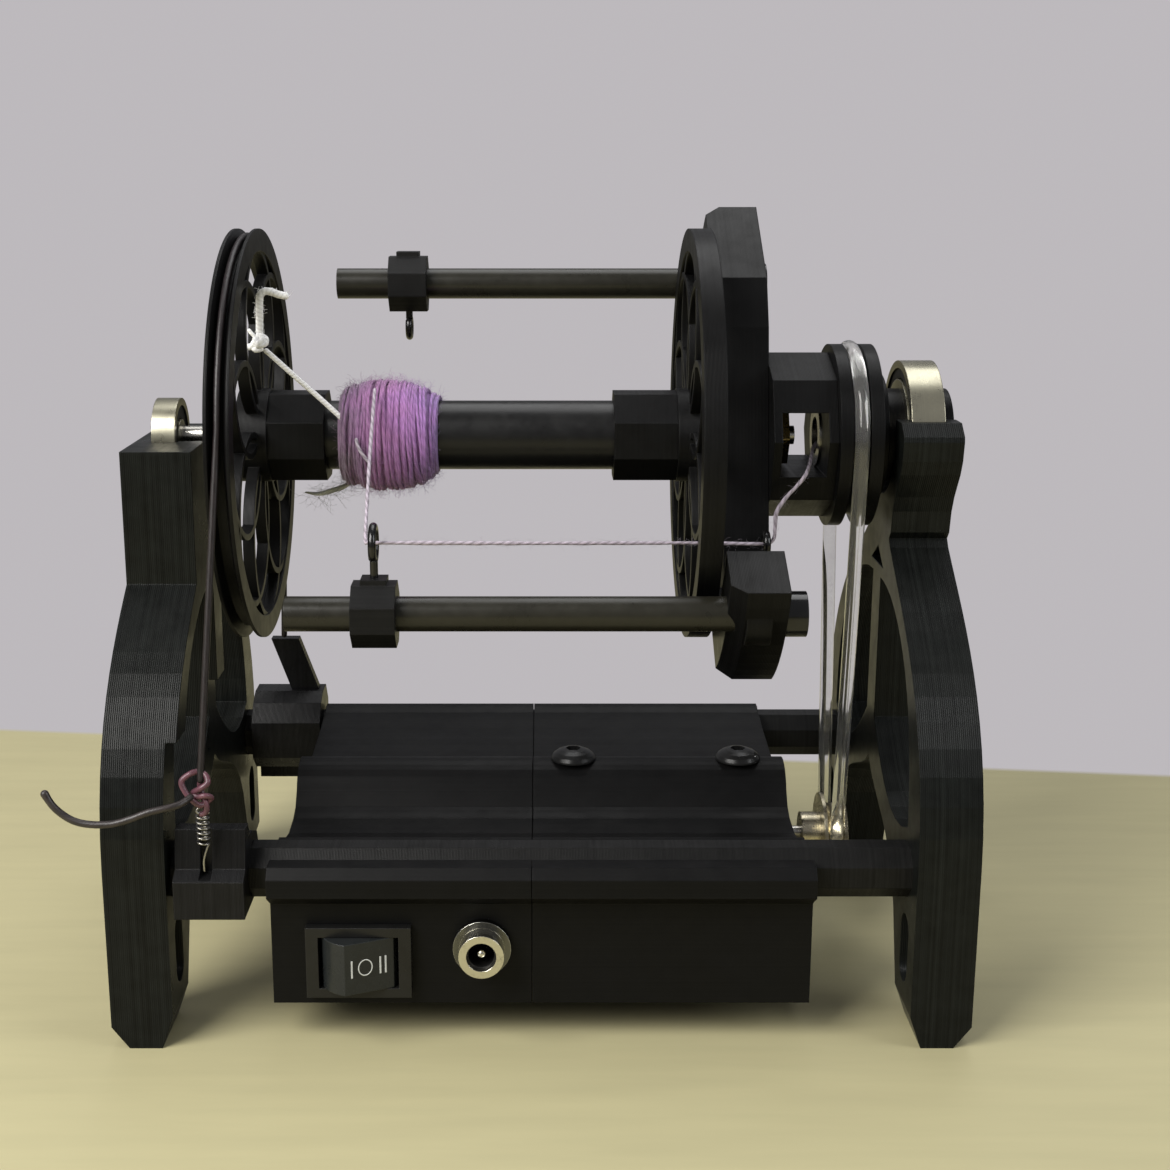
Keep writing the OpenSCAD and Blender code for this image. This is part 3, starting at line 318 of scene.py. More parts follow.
@dataclass(frozen=True)
class Finish:
    """What a surface is made of, with lengths in metres; each kind builds its own nodes."""

    name: str
    colour: Colour
    roughness: float
    specular: float = field(default=0.5, kw_only=True)

    def start(self) -> tuple[bpy.types.Material, Graph, bpy.types.Node, bpy.types.NodeSocket]:
        """Makes the material with its shader.

        Returns:
            The material, its graph, its Principled shader and its Object coordinates.
        """
        material = bpy.data.materials.new(self.name)
        material.use_nodes = True
        material.diffuse_color = (*self.colour, 1.0)
        graph = Graph(material.node_tree)
        shader = material.node_tree.nodes["Principled BSDF"]
        graph.feed(
            shader,
            {
                "Base Color": (*self.colour, 1.0),
                "Roughness": self.roughness,
                "Specular IOR Level": self.specular,
            },
        )
        return material, graph, shader, graph.add("ShaderNodeTexCoord").outputs["Object"]

    def tint(self, factor: float) -> Colour:
        """The finish's colour, lighter or darker."""
        return tuple(min(1.0, c * factor) for c in self.colour)


@dataclass(frozen=True)
class Print(Finish):
    """Printed plastic, with the layers stacked along one direction."""

    direction: Point = (0.0, 0.0, 1.0)
    pitch: float = 0.0003
    relief: float = 0.00004
    contrast: float = 0.5
    # How much lighter sharp edges are painted: a painted highlight.
    painted_edge_highlight: float = 5.0
    dust: float = 0.016
    specular: float = field(default=0.14, kw_only=True)

    def build(self) -> bpy.types.Material:
        """Builds the material."""
        material, graph, shader, place = self.start()
        layers = EFFECTS.place(
            graph, Effect.LAYERS, Vector=place, Direction=self.direction, Pitch=self.pitch
        )
        edges = EFFECTS.place(graph, Effect.EDGES, Radius=0.00035)
        tone = EFFECTS.place(graph, Effect.MOTTLE, Vector=place, Scale=55.0)["Value"]
        dust = EFFECTS.place(graph, Effect.DUST, Vector=place, Amount=self.dust)["Mask"]
        streak = graph.remap(layers["Streak"], 0.35, 0.85)
        dark, light = self.tint(1 - self.contrast * 0.6), self.tint(1 + self.contrast * 1.6)
        # Painted highlight: sharp edges are mixed towards a lighter tint of the colour, unevenly
        # with the mottled tone.
        edge_highlight_mask = graph.math("MULTIPLY", edges["Edge"], tone)
        rimmed = graph.mix(edge_highlight_mask, graph.mix(streak, dark, light), self.tint(self.painted_edge_highlight))
        gloss = graph.math("MULTIPLY_ADD", tone, 0.14, self.roughness - 0.07)
        gloss = graph.math("MULTIPLY_ADD", streak, -0.08, graph.math("ADD", gloss, 0.04))
        graph.feed(
            shader,
            {
                "Base Color": graph.mix(dust, rimmed, DUST_TONE),
                "Roughness": gloss,
                "Normal": graph.bump(layers["Height"], self.relief, 0.9, edges["Normal"]),
            },
        )
        return material


@dataclass(frozen=True)
class Moulded(Finish):
    """Moulded or painted skin with a fine grain, and a painted highlight along its edges."""

    grain: float = 0.00001
    grain_scale: float = 3200.0
    painted_edge_highlight: float = 2.0
    dust: float = 0.02
    coat: float = 0.0
    specular: float = field(default=0.34, kw_only=True)

    def build(self) -> bpy.types.Material:
        """Builds the material."""
        material, graph, shader, place = self.start()
        edges = EFFECTS.place(graph, Effect.EDGES, Radius=0.00025)
        tone = EFFECTS.place(graph, Effect.MOTTLE, Vector=place, Scale=70.0)["Value"]
        dust = EFFECTS.place(graph, Effect.DUST, Vector=place, Amount=self.dust)["Mask"]
        body = graph.mix(tone, self.tint(0.82), self.tint(1.2))
        # Painted highlight: sharp edges are mixed towards a lighter tint of the colour.
        edge_highlight_mask = graph.math("MULTIPLY", edges["Edge"], 0.7)
        rimmed = graph.mix(edge_highlight_mask, body, self.tint(self.painted_edge_highlight))
        grain = graph.noise(place, self.grain_scale, 2.0)
        graph.feed(
            shader,
            {
                "Base Color": graph.mix(dust, rimmed, DUST_TONE),
                "Roughness": graph.math("MULTIPLY_ADD", tone, 0.12, self.roughness - 0.06),
                "Normal": graph.bump(grain, self.grain, 0.6, edges["Normal"]),
                "Coat Weight": self.coat,
                "Coat Roughness": 0.12,
            },
        )
        return material


@dataclass(frozen=True)
class Metal(Finish):
    """Bare metal with fine turning marks, a little tarnish and a painted highlight on its edges."""

    direction: Point = (1.0, 0.0, 0.0)
    pitch: float = 0.00016
    tarnish: Colour = (0.2, 0.17, 0.12)
    painted_edge_highlight: float = 1.3

    def build(self) -> bpy.types.Material:
        """Builds the material."""
        material, graph, shader, place = self.start()
        marks = EFFECTS.place(
            graph, Effect.LAYERS, Vector=place, Direction=self.direction, Pitch=self.pitch
        )
        edges = EFFECTS.place(graph, Effect.EDGES, Radius=0.0002)
        tone = EFFECTS.place(graph, Effect.MOTTLE, Vector=place, Scale=260.0)["Value"]
        body = graph.mix(marks["Streak"], self.tint(0.8), self.tint(1.12))
        aged = graph.mix(graph.remap(tone, 0.55, 1.0, 0.0, 0.45), body, self.tarnish)
        graph.feed(
            shader,
            {
                # Painted highlight: sharp edges are mixed towards a lighter tint of the colour.
                "Base Color": graph.mix(edges["Edge"], aged, self.tint(self.painted_edge_highlight)),
                "Roughness": graph.math("MULTIPLY_ADD", tone, 0.16, self.roughness - 0.08),
                "Normal": graph.bump(marks["Height"], 0.000008, 0.5, edges["Normal"]),
                "Metallic": 1.0,
            },
        )
        return material


@dataclass(frozen=True)
class SealedSteel(Finish):
    """A ground steel ring with a dark rubber seal between two radii."""

    inner: float = 0.004
    outer: float = 0.006
    seal: Colour = (0.02, 0.02, 0.02)
    tarnish: Colour = (0.3, 0.27, 0.2)

    def build(self) -> bpy.types.Material:
        """Builds the material."""
        material, graph, shader, place = self.start()
        rubber = EFFECTS.place(
            graph, Effect.SEAL, Vector=place, Inner=self.inner, Outer=self.outer
        )["Mask"]
        edges = EFFECTS.place(graph, Effect.EDGES, Radius=0.0003)
        marks = EFFECTS.place(
            graph, Effect.LAYERS, Vector=place, Direction=(1.0, 0.0, 0.0), Pitch=0.0001
        )
        tone = EFFECTS.place(graph, Effect.MOTTLE, Vector=place, Scale=240.0)["Value"]
        steel = graph.mix(marks["Streak"], self.tint(0.82), self.tint(1.1))
        steel = graph.mix(graph.remap(tone, 0.6, 1.0, 0.0, 0.3), steel, self.tarnish)
        gloss = graph.math("MULTIPLY_ADD", rubber, 0.3, self.roughness)
        graph.feed(
            shader,
            {
                "Base Color": graph.mix(rubber, steel, self.seal),
                "Metallic": graph.math("SUBTRACT", 1.0, rubber),
                "Roughness": graph.math("MULTIPLY_ADD", tone, 0.1, gloss),
                "Normal": edges["Normal"],
            },
        )
        return material


@dataclass(frozen=True)
class ClearRubber(Finish):
    """Clear soft plastic of the round belt, a little cloudy."""

    def build(self) -> bpy.types.Material:
        """Builds the material."""
        material, graph, shader, place = self.start()
        tone = EFFECTS.place(graph, Effect.MOTTLE, Vector=place, Scale=160.0)["Value"]
        graph.feed(
            shader,
            {
                "Base Color": graph.mix(tone, self.tint(0.94), self.tint(1.06)),
                "Roughness": graph.math("MULTIPLY_ADD", tone, 0.1, self.roughness - 0.05),
                "Normal": graph.bump(graph.noise(place, 420.0, 2.0), 0.00003, 0.4),
                "Transmission Weight": 0.96,
                "IOR": 1.47,
            },
        )
        return material


@dataclass(frozen=True)
class Strand(Finish):
    """Spun or braided strand, with plies and fibres that follow its lay.

    Its colour changes along X through the stops, each an X and a colour. Without stops it has
    one colour.
    """

    stops: tuple[tuple[float, Colour], ...] = ()
    ply_pitch: float = 3.0
    fibres: float = 3.0
    relief: float = 0.00012
    sheen: float = 0.3
    shade: float = 0.5
    stray: float = 0.012

    def build(self) -> bpy.types.Material:
        """Builds the material."""
        material, graph, shader, place = self.start()
        lay = graph.add("ShaderNodeAttribute", attribute_name="lay").outputs["Vector"]
        twist = EFFECTS.place(
            graph, Effect.TWIST, Lay=lay, Pitch=self.ply_pitch, Fibres=self.fibres
        )
        body: object = self.colour
        if self.stops:
            across = graph.add("ShaderNodeSeparateXYZ", {0: place}).outputs[0]
            patch = graph.math("MULTIPLY_ADD", graph.noise(place, 130.0, 2.0), self.stray, across)
            body = self.stops[0][1]
            for (x0, _), (x1, colour) in zip(self.stops, self.stops[1:]):
                amount = graph.remap(patch, x0 + self.stray / 2, x1 + self.stray / 2)
                body = graph.mix(amount, body, colour)
        ply, fibre = twist["Height"], twist["Fibre"]
        deep = graph.math("MULTIPLY", ply, fibre)
        lit = graph.remap(deep, 0.1, 0.62, 1 - self.shade, 1 + self.shade * 0.5)
        scaled = graph.add("ShaderNodeVectorMath", {0: body, 3: lit}, operation="SCALE")
        height = graph.math("MULTIPLY_ADD", fibre, 0.7, graph.math("MULTIPLY", ply, 0.6))
        graph.feed(
            shader,
            {
                "Base Color": scaled.outputs[0],
                "Roughness": graph.remap(fibre, 0.3, 0.7, self.roughness - 0.1, self.roughness),
                "Normal": graph.bump(height, self.relief, 0.8),
                "Sheen Weight": self.sheen,
                "Sheen Roughness": 0.4,
            },
        )
        return material


class Finishes:
    """The spinner's finishes, each built once when a piece first asks for it."""

    BLACK: Colour = (0.0028, 0.0028, 0.0029)
    WOOL = (
        (-0.0435, (0.19, 0.13, 0.18)),
        (-0.0395, (0.27, 0.14, 0.28)),
        (-0.0345, (0.37, 0.16, 0.36)),
        (-0.0295, (0.39, 0.18, 0.44)),
        (-0.0250, (0.34, 0.17, 0.44)),
        (-0.0215, (0.25, 0.16, 0.39)),
    )

    def __init__(self) -> None:
        """Lists every finish by its name."""
        x, y, z = (1.0, 0.0, 0.0), (0.0, 1.0, 0.0), (0.0, 0.0, 1.0)
        steel, pale_brass = (0.50, 0.475, 0.36), (0.66, 0.60, 0.44)
        kinds: list[Finish] = [
            Print(
                "frame_print", (0.0042, 0.0048, 0.0044), 0.33, direction=x, pitch=0.0004,
                relief=0.00005, contrast=0.9, painted_edge_highlight=3.0,
            ),
            Print(
                "rod_print", (0.0062, 0.0062, 0.006), 0.34, direction=x, pitch=0.0003,
                relief=0.00002, contrast=0.5, painted_edge_highlight=3.0,
            ),
            Print(
                "case_print", self.BLACK, 0.46, direction=z, pitch=0.0002, relief=0.000012,
                contrast=0.35, painted_edge_highlight=2.6,
            ),
            Moulded("black_screw", (0.01, 0.01, 0.01), 0.3, painted_edge_highlight=3.0),
            Metal("motor_steel", (0.55, 0.56, 0.57), 0.35),
            Metal("steel", (0.62, 0.60, 0.55), 0.26),
            Metal("spring_wire", (0.34, 0.33, 0.31), 0.3),
            Metal("brass", pale_brass, 0.28, direction=x, pitch=0.0002),
            Metal("nut_brass", (0.66, 0.49, 0.2), 0.3, direction=x, pitch=0.0002),
            ClearRubber("clear_belt", (0.90, 0.90, 0.87), 0.1),
            Moulded("switch_plastic", (0.008, 0.008, 0.0078), 0.3, painted_edge_highlight=3.0),
            Moulded("rocker_plastic", (0.014, 0.016, 0.0165), 0.28, painted_edge_highlight=3.0),
            Metal("jack_metal", (0.70, 0.68, 0.60), 0.22, direction=y, pitch=0.0003),
            # jack_ring: a dark colour as painted shade on the nut's front face, and a strong
            # painted highlight on its edges.
            Metal(
                "jack_ring", (0.14, 0.14, 0.13), 0.24, direction=y, pitch=0.0003,
                tarnish=(0.05, 0.05, 0.05), painted_edge_highlight=5.0,
            ),
            SealedSteel("bearing_steel_left", steel, 0.26, inner=0.0037, outer=0.0064),
            SealedSteel("bearing_steel_right", steel, 0.24, inner=0.0123, outer=0.0144),
            Print(
                "flyer_print", self.BLACK, 0.36, direction=x, pitch=0.0003, relief=0.00002,
                contrast=0.45, painted_edge_highlight=2.8,
            ),
            Moulded("arm_rod", (0.017, 0.016, 0.0115), 0.3, painted_edge_highlight=1.5),
            Moulded("cap_plastic", (0.006, 0.0062, 0.0066), 0.18, painted_edge_highlight=2.6, coat=0.4),
            Print(
                "slider_print", (0.006, 0.006, 0.006), 0.36, direction=z, pitch=0.0002,
                relief=0.00002, contrast=0.4, painted_edge_highlight=2.6,
            ),
            Moulded("hook_wire", (0.005, 0.005, 0.005), 0.2, painted_edge_highlight=2.0, coat=0.3),
            Print(
                "bobbin_print", self.BLACK, 0.4, direction=x, pitch=0.00025, relief=0.00002,
                contrast=0.5, painted_edge_highlight=4.5,
            ),
            Moulded("bobbin_tube", (0.0055, 0.0055, 0.0056), 0.32, painted_edge_highlight=2.0),
            Print(
                "clip_print", (0.0065, 0.0065, 0.0068), 0.3, direction=x, pitch=0.0003,
                relief=0.00003, contrast=0.5, painted_edge_highlight=3.2,
            ),
            Strand(
                "yarn", (0.34, 0.2, 0.4), 0.85, stops=self.WOOL, ply_pitch=5.0, fibres=3.5,
                relief=0.00012, sheen=0.45, shade=0.3,
            ),
            Strand(
                "yarn_single", (0.46, 0.40, 0.47), 0.8, ply_pitch=4.0, fibres=3.0, relief=0.0001,
                sheen=0.3, shade=0.45,
            ),
            Strand(
                "leader_yarn", (0.99, 0.99, 0.98), 0.75, ply_pitch=1.7, fibres=2.5,
                relief=0.00009, sheen=0.2, shade=0.16,
            ),
            Strand(
                "roving", (0.68, 0.69, 0.61), 0.9, ply_pitch=14.0, fibres=2.5, relief=0.0002,
                sheen=0.4, shade=0.35,
            ),
            # groove_cord: the knot's cord colour darkened nearly to black where the cord lies in
            # the flange's groove, as painted shade.
            Strand(
                "groove_cord", (0.010, 0.006, 0.007), 0.5, ply_pitch=9.0, fibres=3.0,
                relief=0.00004, sheen=0.0, shade=0.35,
            ),
            Strand(
                "cord", (0.12, 0.047, 0.064), 0.42, ply_pitch=9.0, fibres=3.0, relief=0.00004,
                sheen=0.0, shade=0.35,
            ),
            Strand(
                "tail_cord", (0.026, 0.02, 0.019), 0.45, ply_pitch=9.0, fibres=3.0,
                relief=0.00004, sheen=0.0, shade=0.35,
            ),
            Moulded("switch_mark", (0.62, 0.64, 0.63), 0.45, painted_edge_highlight=1.0, dust=0.0),
        ]
        self.kinds = {kind.name: kind for kind in kinds}
        self.built: dict[str, bpy.types.Material] = {}

    def __getitem__(self, name: str) -> bpy.types.Material:
        """The material of that name."""
        if name not in self.built:
            self.built[name] = self.kinds[name].build()
        return self.built[name]


FINISHES = Finishes()


# ------------------------------------------------------------------ mesh helpers


@dataclass(frozen=True)
class Route:
    """A smooth run through chosen points, in millimetres."""

    points: Sequence[Point]
    steps: int = 8
    closed: bool = False

    def line(self) -> list[Vector]:
        """The run as points close together, in metres."""
        points = [Vector(p) * MM for p in self.points]
        count = len(points)

        def at(i: int) -> Vector:
            """The point of that index, wrapped on a closed run and held at an open one's ends."""
            return points[i % count] if self.closed else points[max(0, min(count - 1, i))]

        made = []
        for i in range(count if self.closed else count - 1):
            a, b, c, d = at(i - 1), at(i), at(i + 1), at(i + 2)
            for k in range(self.steps):
                t = k / self.steps
                made.append(
                    0.5
                    * (
                        2 * b
                        + (c - a) * t
                        + (2 * a - 5 * b + 4 * c - d) * t * t
                        + (3 * b - a - 3 * c + d) * t * t * t
                    )
                )
        return made if self.closed else [*made, points[-1]]


def lengths(line: Sequence[Vector]) -> list[float]:
    """Distance along a line at each of its points."""
    total = [0.0]
    for a, b in zip(line, line[1:]):
        total.append(total[-1] + (b - a).length)
    return total


def restation(line: Sequence[Vector], radius: float, spacing: float) -> list[Vector]:
    """Spaces an open line's points evenly, with extra ones where its ends round off.

    Args:
        line: The line.
        radius: Radius of the tube that will follow it.
        spacing: Distance between points away from the ends.

    Returns:
        The new points.
    """
    marks = lengths(line)
    total = marks[-1]
    near = [0.0, 0.08 * radius, 0.3 * radius, 0.65 * radius, radius]
    count = max(2, int((total - 2 * radius) / spacing))
    middle = [radius + (total - 2 * radius) * i / count for i in range(1, count)]
    stations = near + middle + [total - s for s in reversed(near)]
    made, index = [], 0
    for station in stations:
        while index < len(marks) - 2 and marks[index + 1] < station:
            index += 1
        span = marks[index + 1] - marks[index]
        share = (station - marks[index]) / span if span else 0.0
        made.append(line[index].lerp(line[index + 1], min(1.0, share)))
    return made


def mesh_piece(
    name: str,
    vertices: Sequence[Sequence[float]],
    faces: Sequence[Sequence[int]],
    material: bpy.types.Material,
    lay: Sequence[Sequence[float]] | None = None,
) -> bpy.types.Object:
    """Makes a smooth-shaded mesh object.

    Args:
        name: Name of the piece.
        vertices: Vertex places in metres.
        faces: Vertex indices of each face.
        material: Its material.
        lay: The lay attribute of each vertex, for strands.

    Returns:
        The object, linked to the scene.
    """
    mesh = bpy.data.meshes.new(name)
    mesh.from_pydata([tuple(v) for v in vertices], [], [tuple(f) for f in faces])
    mesh.materials.append(material)
    if lay is not None:
        attribute = mesh.attributes.new("lay", "FLOAT_VECTOR", "POINT")
        attribute.data.foreach_set("vector", np.array(lay, np.float32).ravel())
    mesh.shade_smooth()
    mesh.update()
    made = bpy.data.objects.new(name, mesh)
    bpy.context.scene.collection.objects.link(made)
    return made


def tube(
    name: str,
    line: Sequence[Vector],
    radius: float,
    material: bpy.types.Material,
    sides: int = 12,
    closed: bool = False,
    swell: Callable[[float], float] | None = None,
) -> bpy.types.Object:
    """Sweeps a round tube along a line, with rounded ends, and stores its lay.

    Args:
        name: Name of the piece.
        line: Points in metres.
        radius: Radius of the tube.
        material: Its material.
        sides: Sides of its section.
        closed: Whether the line closes on itself.
        swell: Scale of the radius over the share of the length, 1 if left out.

    Returns:
        The tube as an object.
    """
    points = list(line) if closed else restation(line, radius, radius * 0.9)
    count = len(points)
    marks = lengths(points)
    tangents = []
    for i in range(count):
        before = points[i - 1] if closed or i else points[0]
        after = points[(i + 1) % count] if closed or i < count - 1 else points[-1]
        tangents.append((after - before).normalized())
    across = [tangents[0].orthogonal().normalized()]
    for i in range(1, count):
        turned = tangents[i - 1].rotation_difference(tangents[i]) @ across[-1]
        across.append((turned - tangents[i] * turned.dot(tangents[i])).normalized())
    spare = 0.0
    if closed:
        home = tangents[-1].rotation_difference(tangents[0]) @ across[-1]
        spare = math.atan2(tangents[0].dot(home.cross(across[0])), home.dot(across[0]))
    vertices, lay, faces = [], [], []
    for i, point in enumerate(points):
        size = radius * (swell(marks[i] / marks[-1]) if swell else 1.0)
        if not closed:
            gap = min(marks[i], marks[-1] - marks[i], size)
            size *= math.sqrt(max(0.0, 1 - (1 - gap / size) ** 2)) or 0.05
        normal = Matrix.Rotation(spare * i / count, 3, tangents[i]) @ across[i]
        side = tangents[i].cross(normal)
        for k in range(sides):
            a = 2 * math.pi * k / sides
            vertices.append(point + size * (math.cos(a) * normal + math.sin(a) * side))
            lay.append((math.cos(a), math.sin(a), marks[i] / MM))
    for i in range(count if closed else count - 1):
        j = (i + 1) % count
        for k in range(sides):
            n = (k + 1) % sides
            faces.append((i * sides + k, i * sides + n, j * sides + n, j * sides + k))
    if not closed:
        faces.append(tuple(range(sides - 1, -1, -1)))
        last = (count - 1) * sides
        faces.append(tuple(range(last, last + sides)))
    return mesh_piece(name, vertices, faces, material, lay)


def lathe(
    name: str, profile: Sequence[tuple[float, float]], material: bpy.types.Material, sides: int = 64
) -> bpy.types.Object:
    """Turns a closed solid about the flyer axis.

    Args:
        name: Name of the piece.
        profile: (X, radius) in millimetres from one end of the axis to the other.
        material: Its material.
        sides: Sides of the turning.

    Returns:
        The solid as an object.
    """
    vertices = [(profile[0][0] * MM, 0.0, AXIS_Z * MM), (profile[-1][0] * MM, 0.0, AXIS_Z * MM)]
    for x, radius in profile:
        for k in range(sides):
            a = 2 * math.pi * k / sides
            y, z = radius * MM * math.sin(a), (AXIS_Z + radius * math.cos(a)) * MM
            vertices.append((x * MM, y, z))
    faces = []
    for k in range(sides):
        n = (k + 1) % sides
        faces.append((0, 2 + n, 2 + k))
        last = 2 + (len(profile) - 1) * sides
        faces.append((1, last + k, last + n))
        for i in range(len(profile) - 1):
            row = 2 + i * sides
            faces.append((row + k, row + n, row + sides + n, row + sides + k))
    flipped = [tuple(reversed(f)) for f in faces]
    return mesh_piece(name, vertices, flipped, material)


# ------------------------------------------------------------------ geometry nodes


class Pattern:
    """A Geometry Nodes tree that is run once on a host mesh and then made plain."""

    KINDS = {
        float: "NodeSocketFloat",
        int: "NodeSocketInt",
        bpy.types.Material: "NodeSocketMaterial",
    }

    def __init__(self, name: str, values: Mapping[str, object]) -> None:
        """Makes the tree with its inputs.

        Args:
            name: Name of the tree.
            values: Its inputs and their values.
        """
        self.values = dict(values)
        self.tree = bpy.data.node_groups.new(name, "GeometryNodeTree")
        face = self.tree.interface
        face.new_socket("Geometry", in_out="INPUT", socket_type="NodeSocketGeometry")
        for key, value in values.items():
            face.new_socket(key, in_out="INPUT", socket_type=self.KINDS[type(value)])
        face.new_socket("Geometry", in_out="OUTPUT", socket_type="NodeSocketGeometry")
        self.graph = Graph(self.tree)
        self.inputs = self.graph.add("NodeGroupInput").outputs

    def finish(self, geometry: bpy.types.NodeSocket) -> None:
        """Ends the tree: smooth shading, realised instances and the material."""
        smooth = self.graph.add("GeometryNodeSetShadeSmooth", {0: geometry}).outputs[0]
        real = self.graph.add("GeometryNodeRealizeInstances", {0: smooth}).outputs[0]
        inputs = {0: real, "Material": self.inputs["Material"]}
        dressed = self.graph.add("GeometryNodeSetMaterial", inputs).outputs[0]
        self.graph.add("NodeGroupOutput", {0: dressed})

    def run(self, name: str, host: bpy.types.Object | None = None) -> bpy.types.Object:
        """Runs the tree and keeps its result as a plain mesh.

        Args:
            name: Name of the new piece.
            host: The object whose mesh goes in, or none for an empty mesh.

        Returns:
            The new object, with no modifier.
        """
        source = host.data.copy() if host else bpy.data.meshes.new(f"{name}_host")
        carrier = bpy.data.objects.new(f"{name}_host", source)
        bpy.context.scene.collection.objects.link(carrier)
        modifier = carrier.modifiers.new("pattern", "NODES")
        modifier.node_group = self.tree
        for item in self.tree.interface.items_tree:
            if item.item_type == "SOCKET" and item.in_out == "INPUT" and item.name in self.values:
                modifier[item.identifier] = self.values[item.name]
        graph = bpy.context.evaluated_depsgraph_get()
        mesh = bpy.data.meshes.new_from_object(
            carrier.evaluated_get(graph), preserve_all_data_layers=True, depsgraph=graph
        )
        carrier.modifiers.remove(modifier)
        bpy.data.objects.remove(carrier)
        mesh.name = name
        if not mesh.materials:
            mesh.materials.append(self.values["Material"])
        made = bpy.data.objects.new(name, mesh)
        bpy.context.scene.collection.objects.link(made)
        return made


def strand_mesh(
    graph: Graph, curve: bpy.types.NodeSocket, radius: object, sides: int
) -> bpy.types.NodeSocket:
    """Sweeps yarn along curves inside a tree, with the lay attribute on its points.

    Args:
        graph: The tree's graph.
        curve: The curves.
        radius: Radius of the yarn.
        sides: Sides of its section.

    Returns:
        The mesh.
    """
    length = graph.add("GeometryNodeSplineParameter").outputs["Length"]
    marked = graph.add(
        "GeometryNodeStoreNamedAttribute",
        {"Geometry": curve, "Name": "along", "Value": length},
        data_type="FLOAT",
        domain="POINT",
    ).outputs[0]
    section = graph.add(
        "GeometryNodeCurvePrimitiveCircle", {"Resolution": sides, "Radius": radius}
    ).outputs[0]
    share = graph.add("GeometryNodeSplineParameter").outputs["Factor"]
    section = graph.add(
        "GeometryNodeStoreNamedAttribute",
        {"Geometry": section, "Name": "around", "Value": share},
        data_type="FLOAT",
        domain="POINT",
    ).outputs[0]
    mesh = graph.add(
        "GeometryNodeCurveToMesh", {"Curve": marked, "Profile Curve": section, "Fill Caps": True}
    ).outputs[0]
    turn = graph.add("GeometryNodeInputNamedAttribute", {"Name": "around"}, data_type="FLOAT")
    run = graph.add("GeometryNodeInputNamedAttribute", {"Name": "along"}, data_type="FLOAT")
    angle = graph.math("MULTIPLY", turn.outputs[0], 2 * math.pi)
    lay = graph.add(
        "ShaderNodeCombineXYZ",
        {
            0: graph.math("COSINE", angle),
            1: graph.math("SINE", angle),
            2: graph.math("DIVIDE", run.outputs[0], MM),
        },
    ).outputs[0]
    return graph.add(
        "GeometryNodeStoreNamedAttribute",
        {"Geometry": mesh, "Name": "lay", "Value": lay},
        data_type="FLOAT_VECTOR",
        domain="POINT",
    ).outputs[0]


def random_value(graph: Graph, low: float, high: float, seed: int) -> bpy.types.NodeSocket:
    """A random number for each point, with a fixed seed."""
    inputs = {"Seed": seed, 2: low, 3: high}
    return graph.add("FunctionNodeRandomValue", inputs, data_type="FLOAT").outputs[1]


# A winding is fullest a little to the left of its middle, and thins out along a power curve.
BARREL_SKEW = 0.1
BARREL_POWER = 0.7


@dataclass(frozen=True)
class Winding:
    """A layer of yarn rings, side by side over a barrel shape about the flyer axis.

    Lengths are in metres: end_radius is that of a ring's centreline at the ends, bulge is how
    much larger the middle rings are, sway is how far a ring strays along X and tilt is its
    largest lean, in radians.
    """

    turns: int
    length: float
    middle: float
    end_radius: float
    bulge: float
    yarn_radius: float
    sway: float
    tilt: float
    seed: int


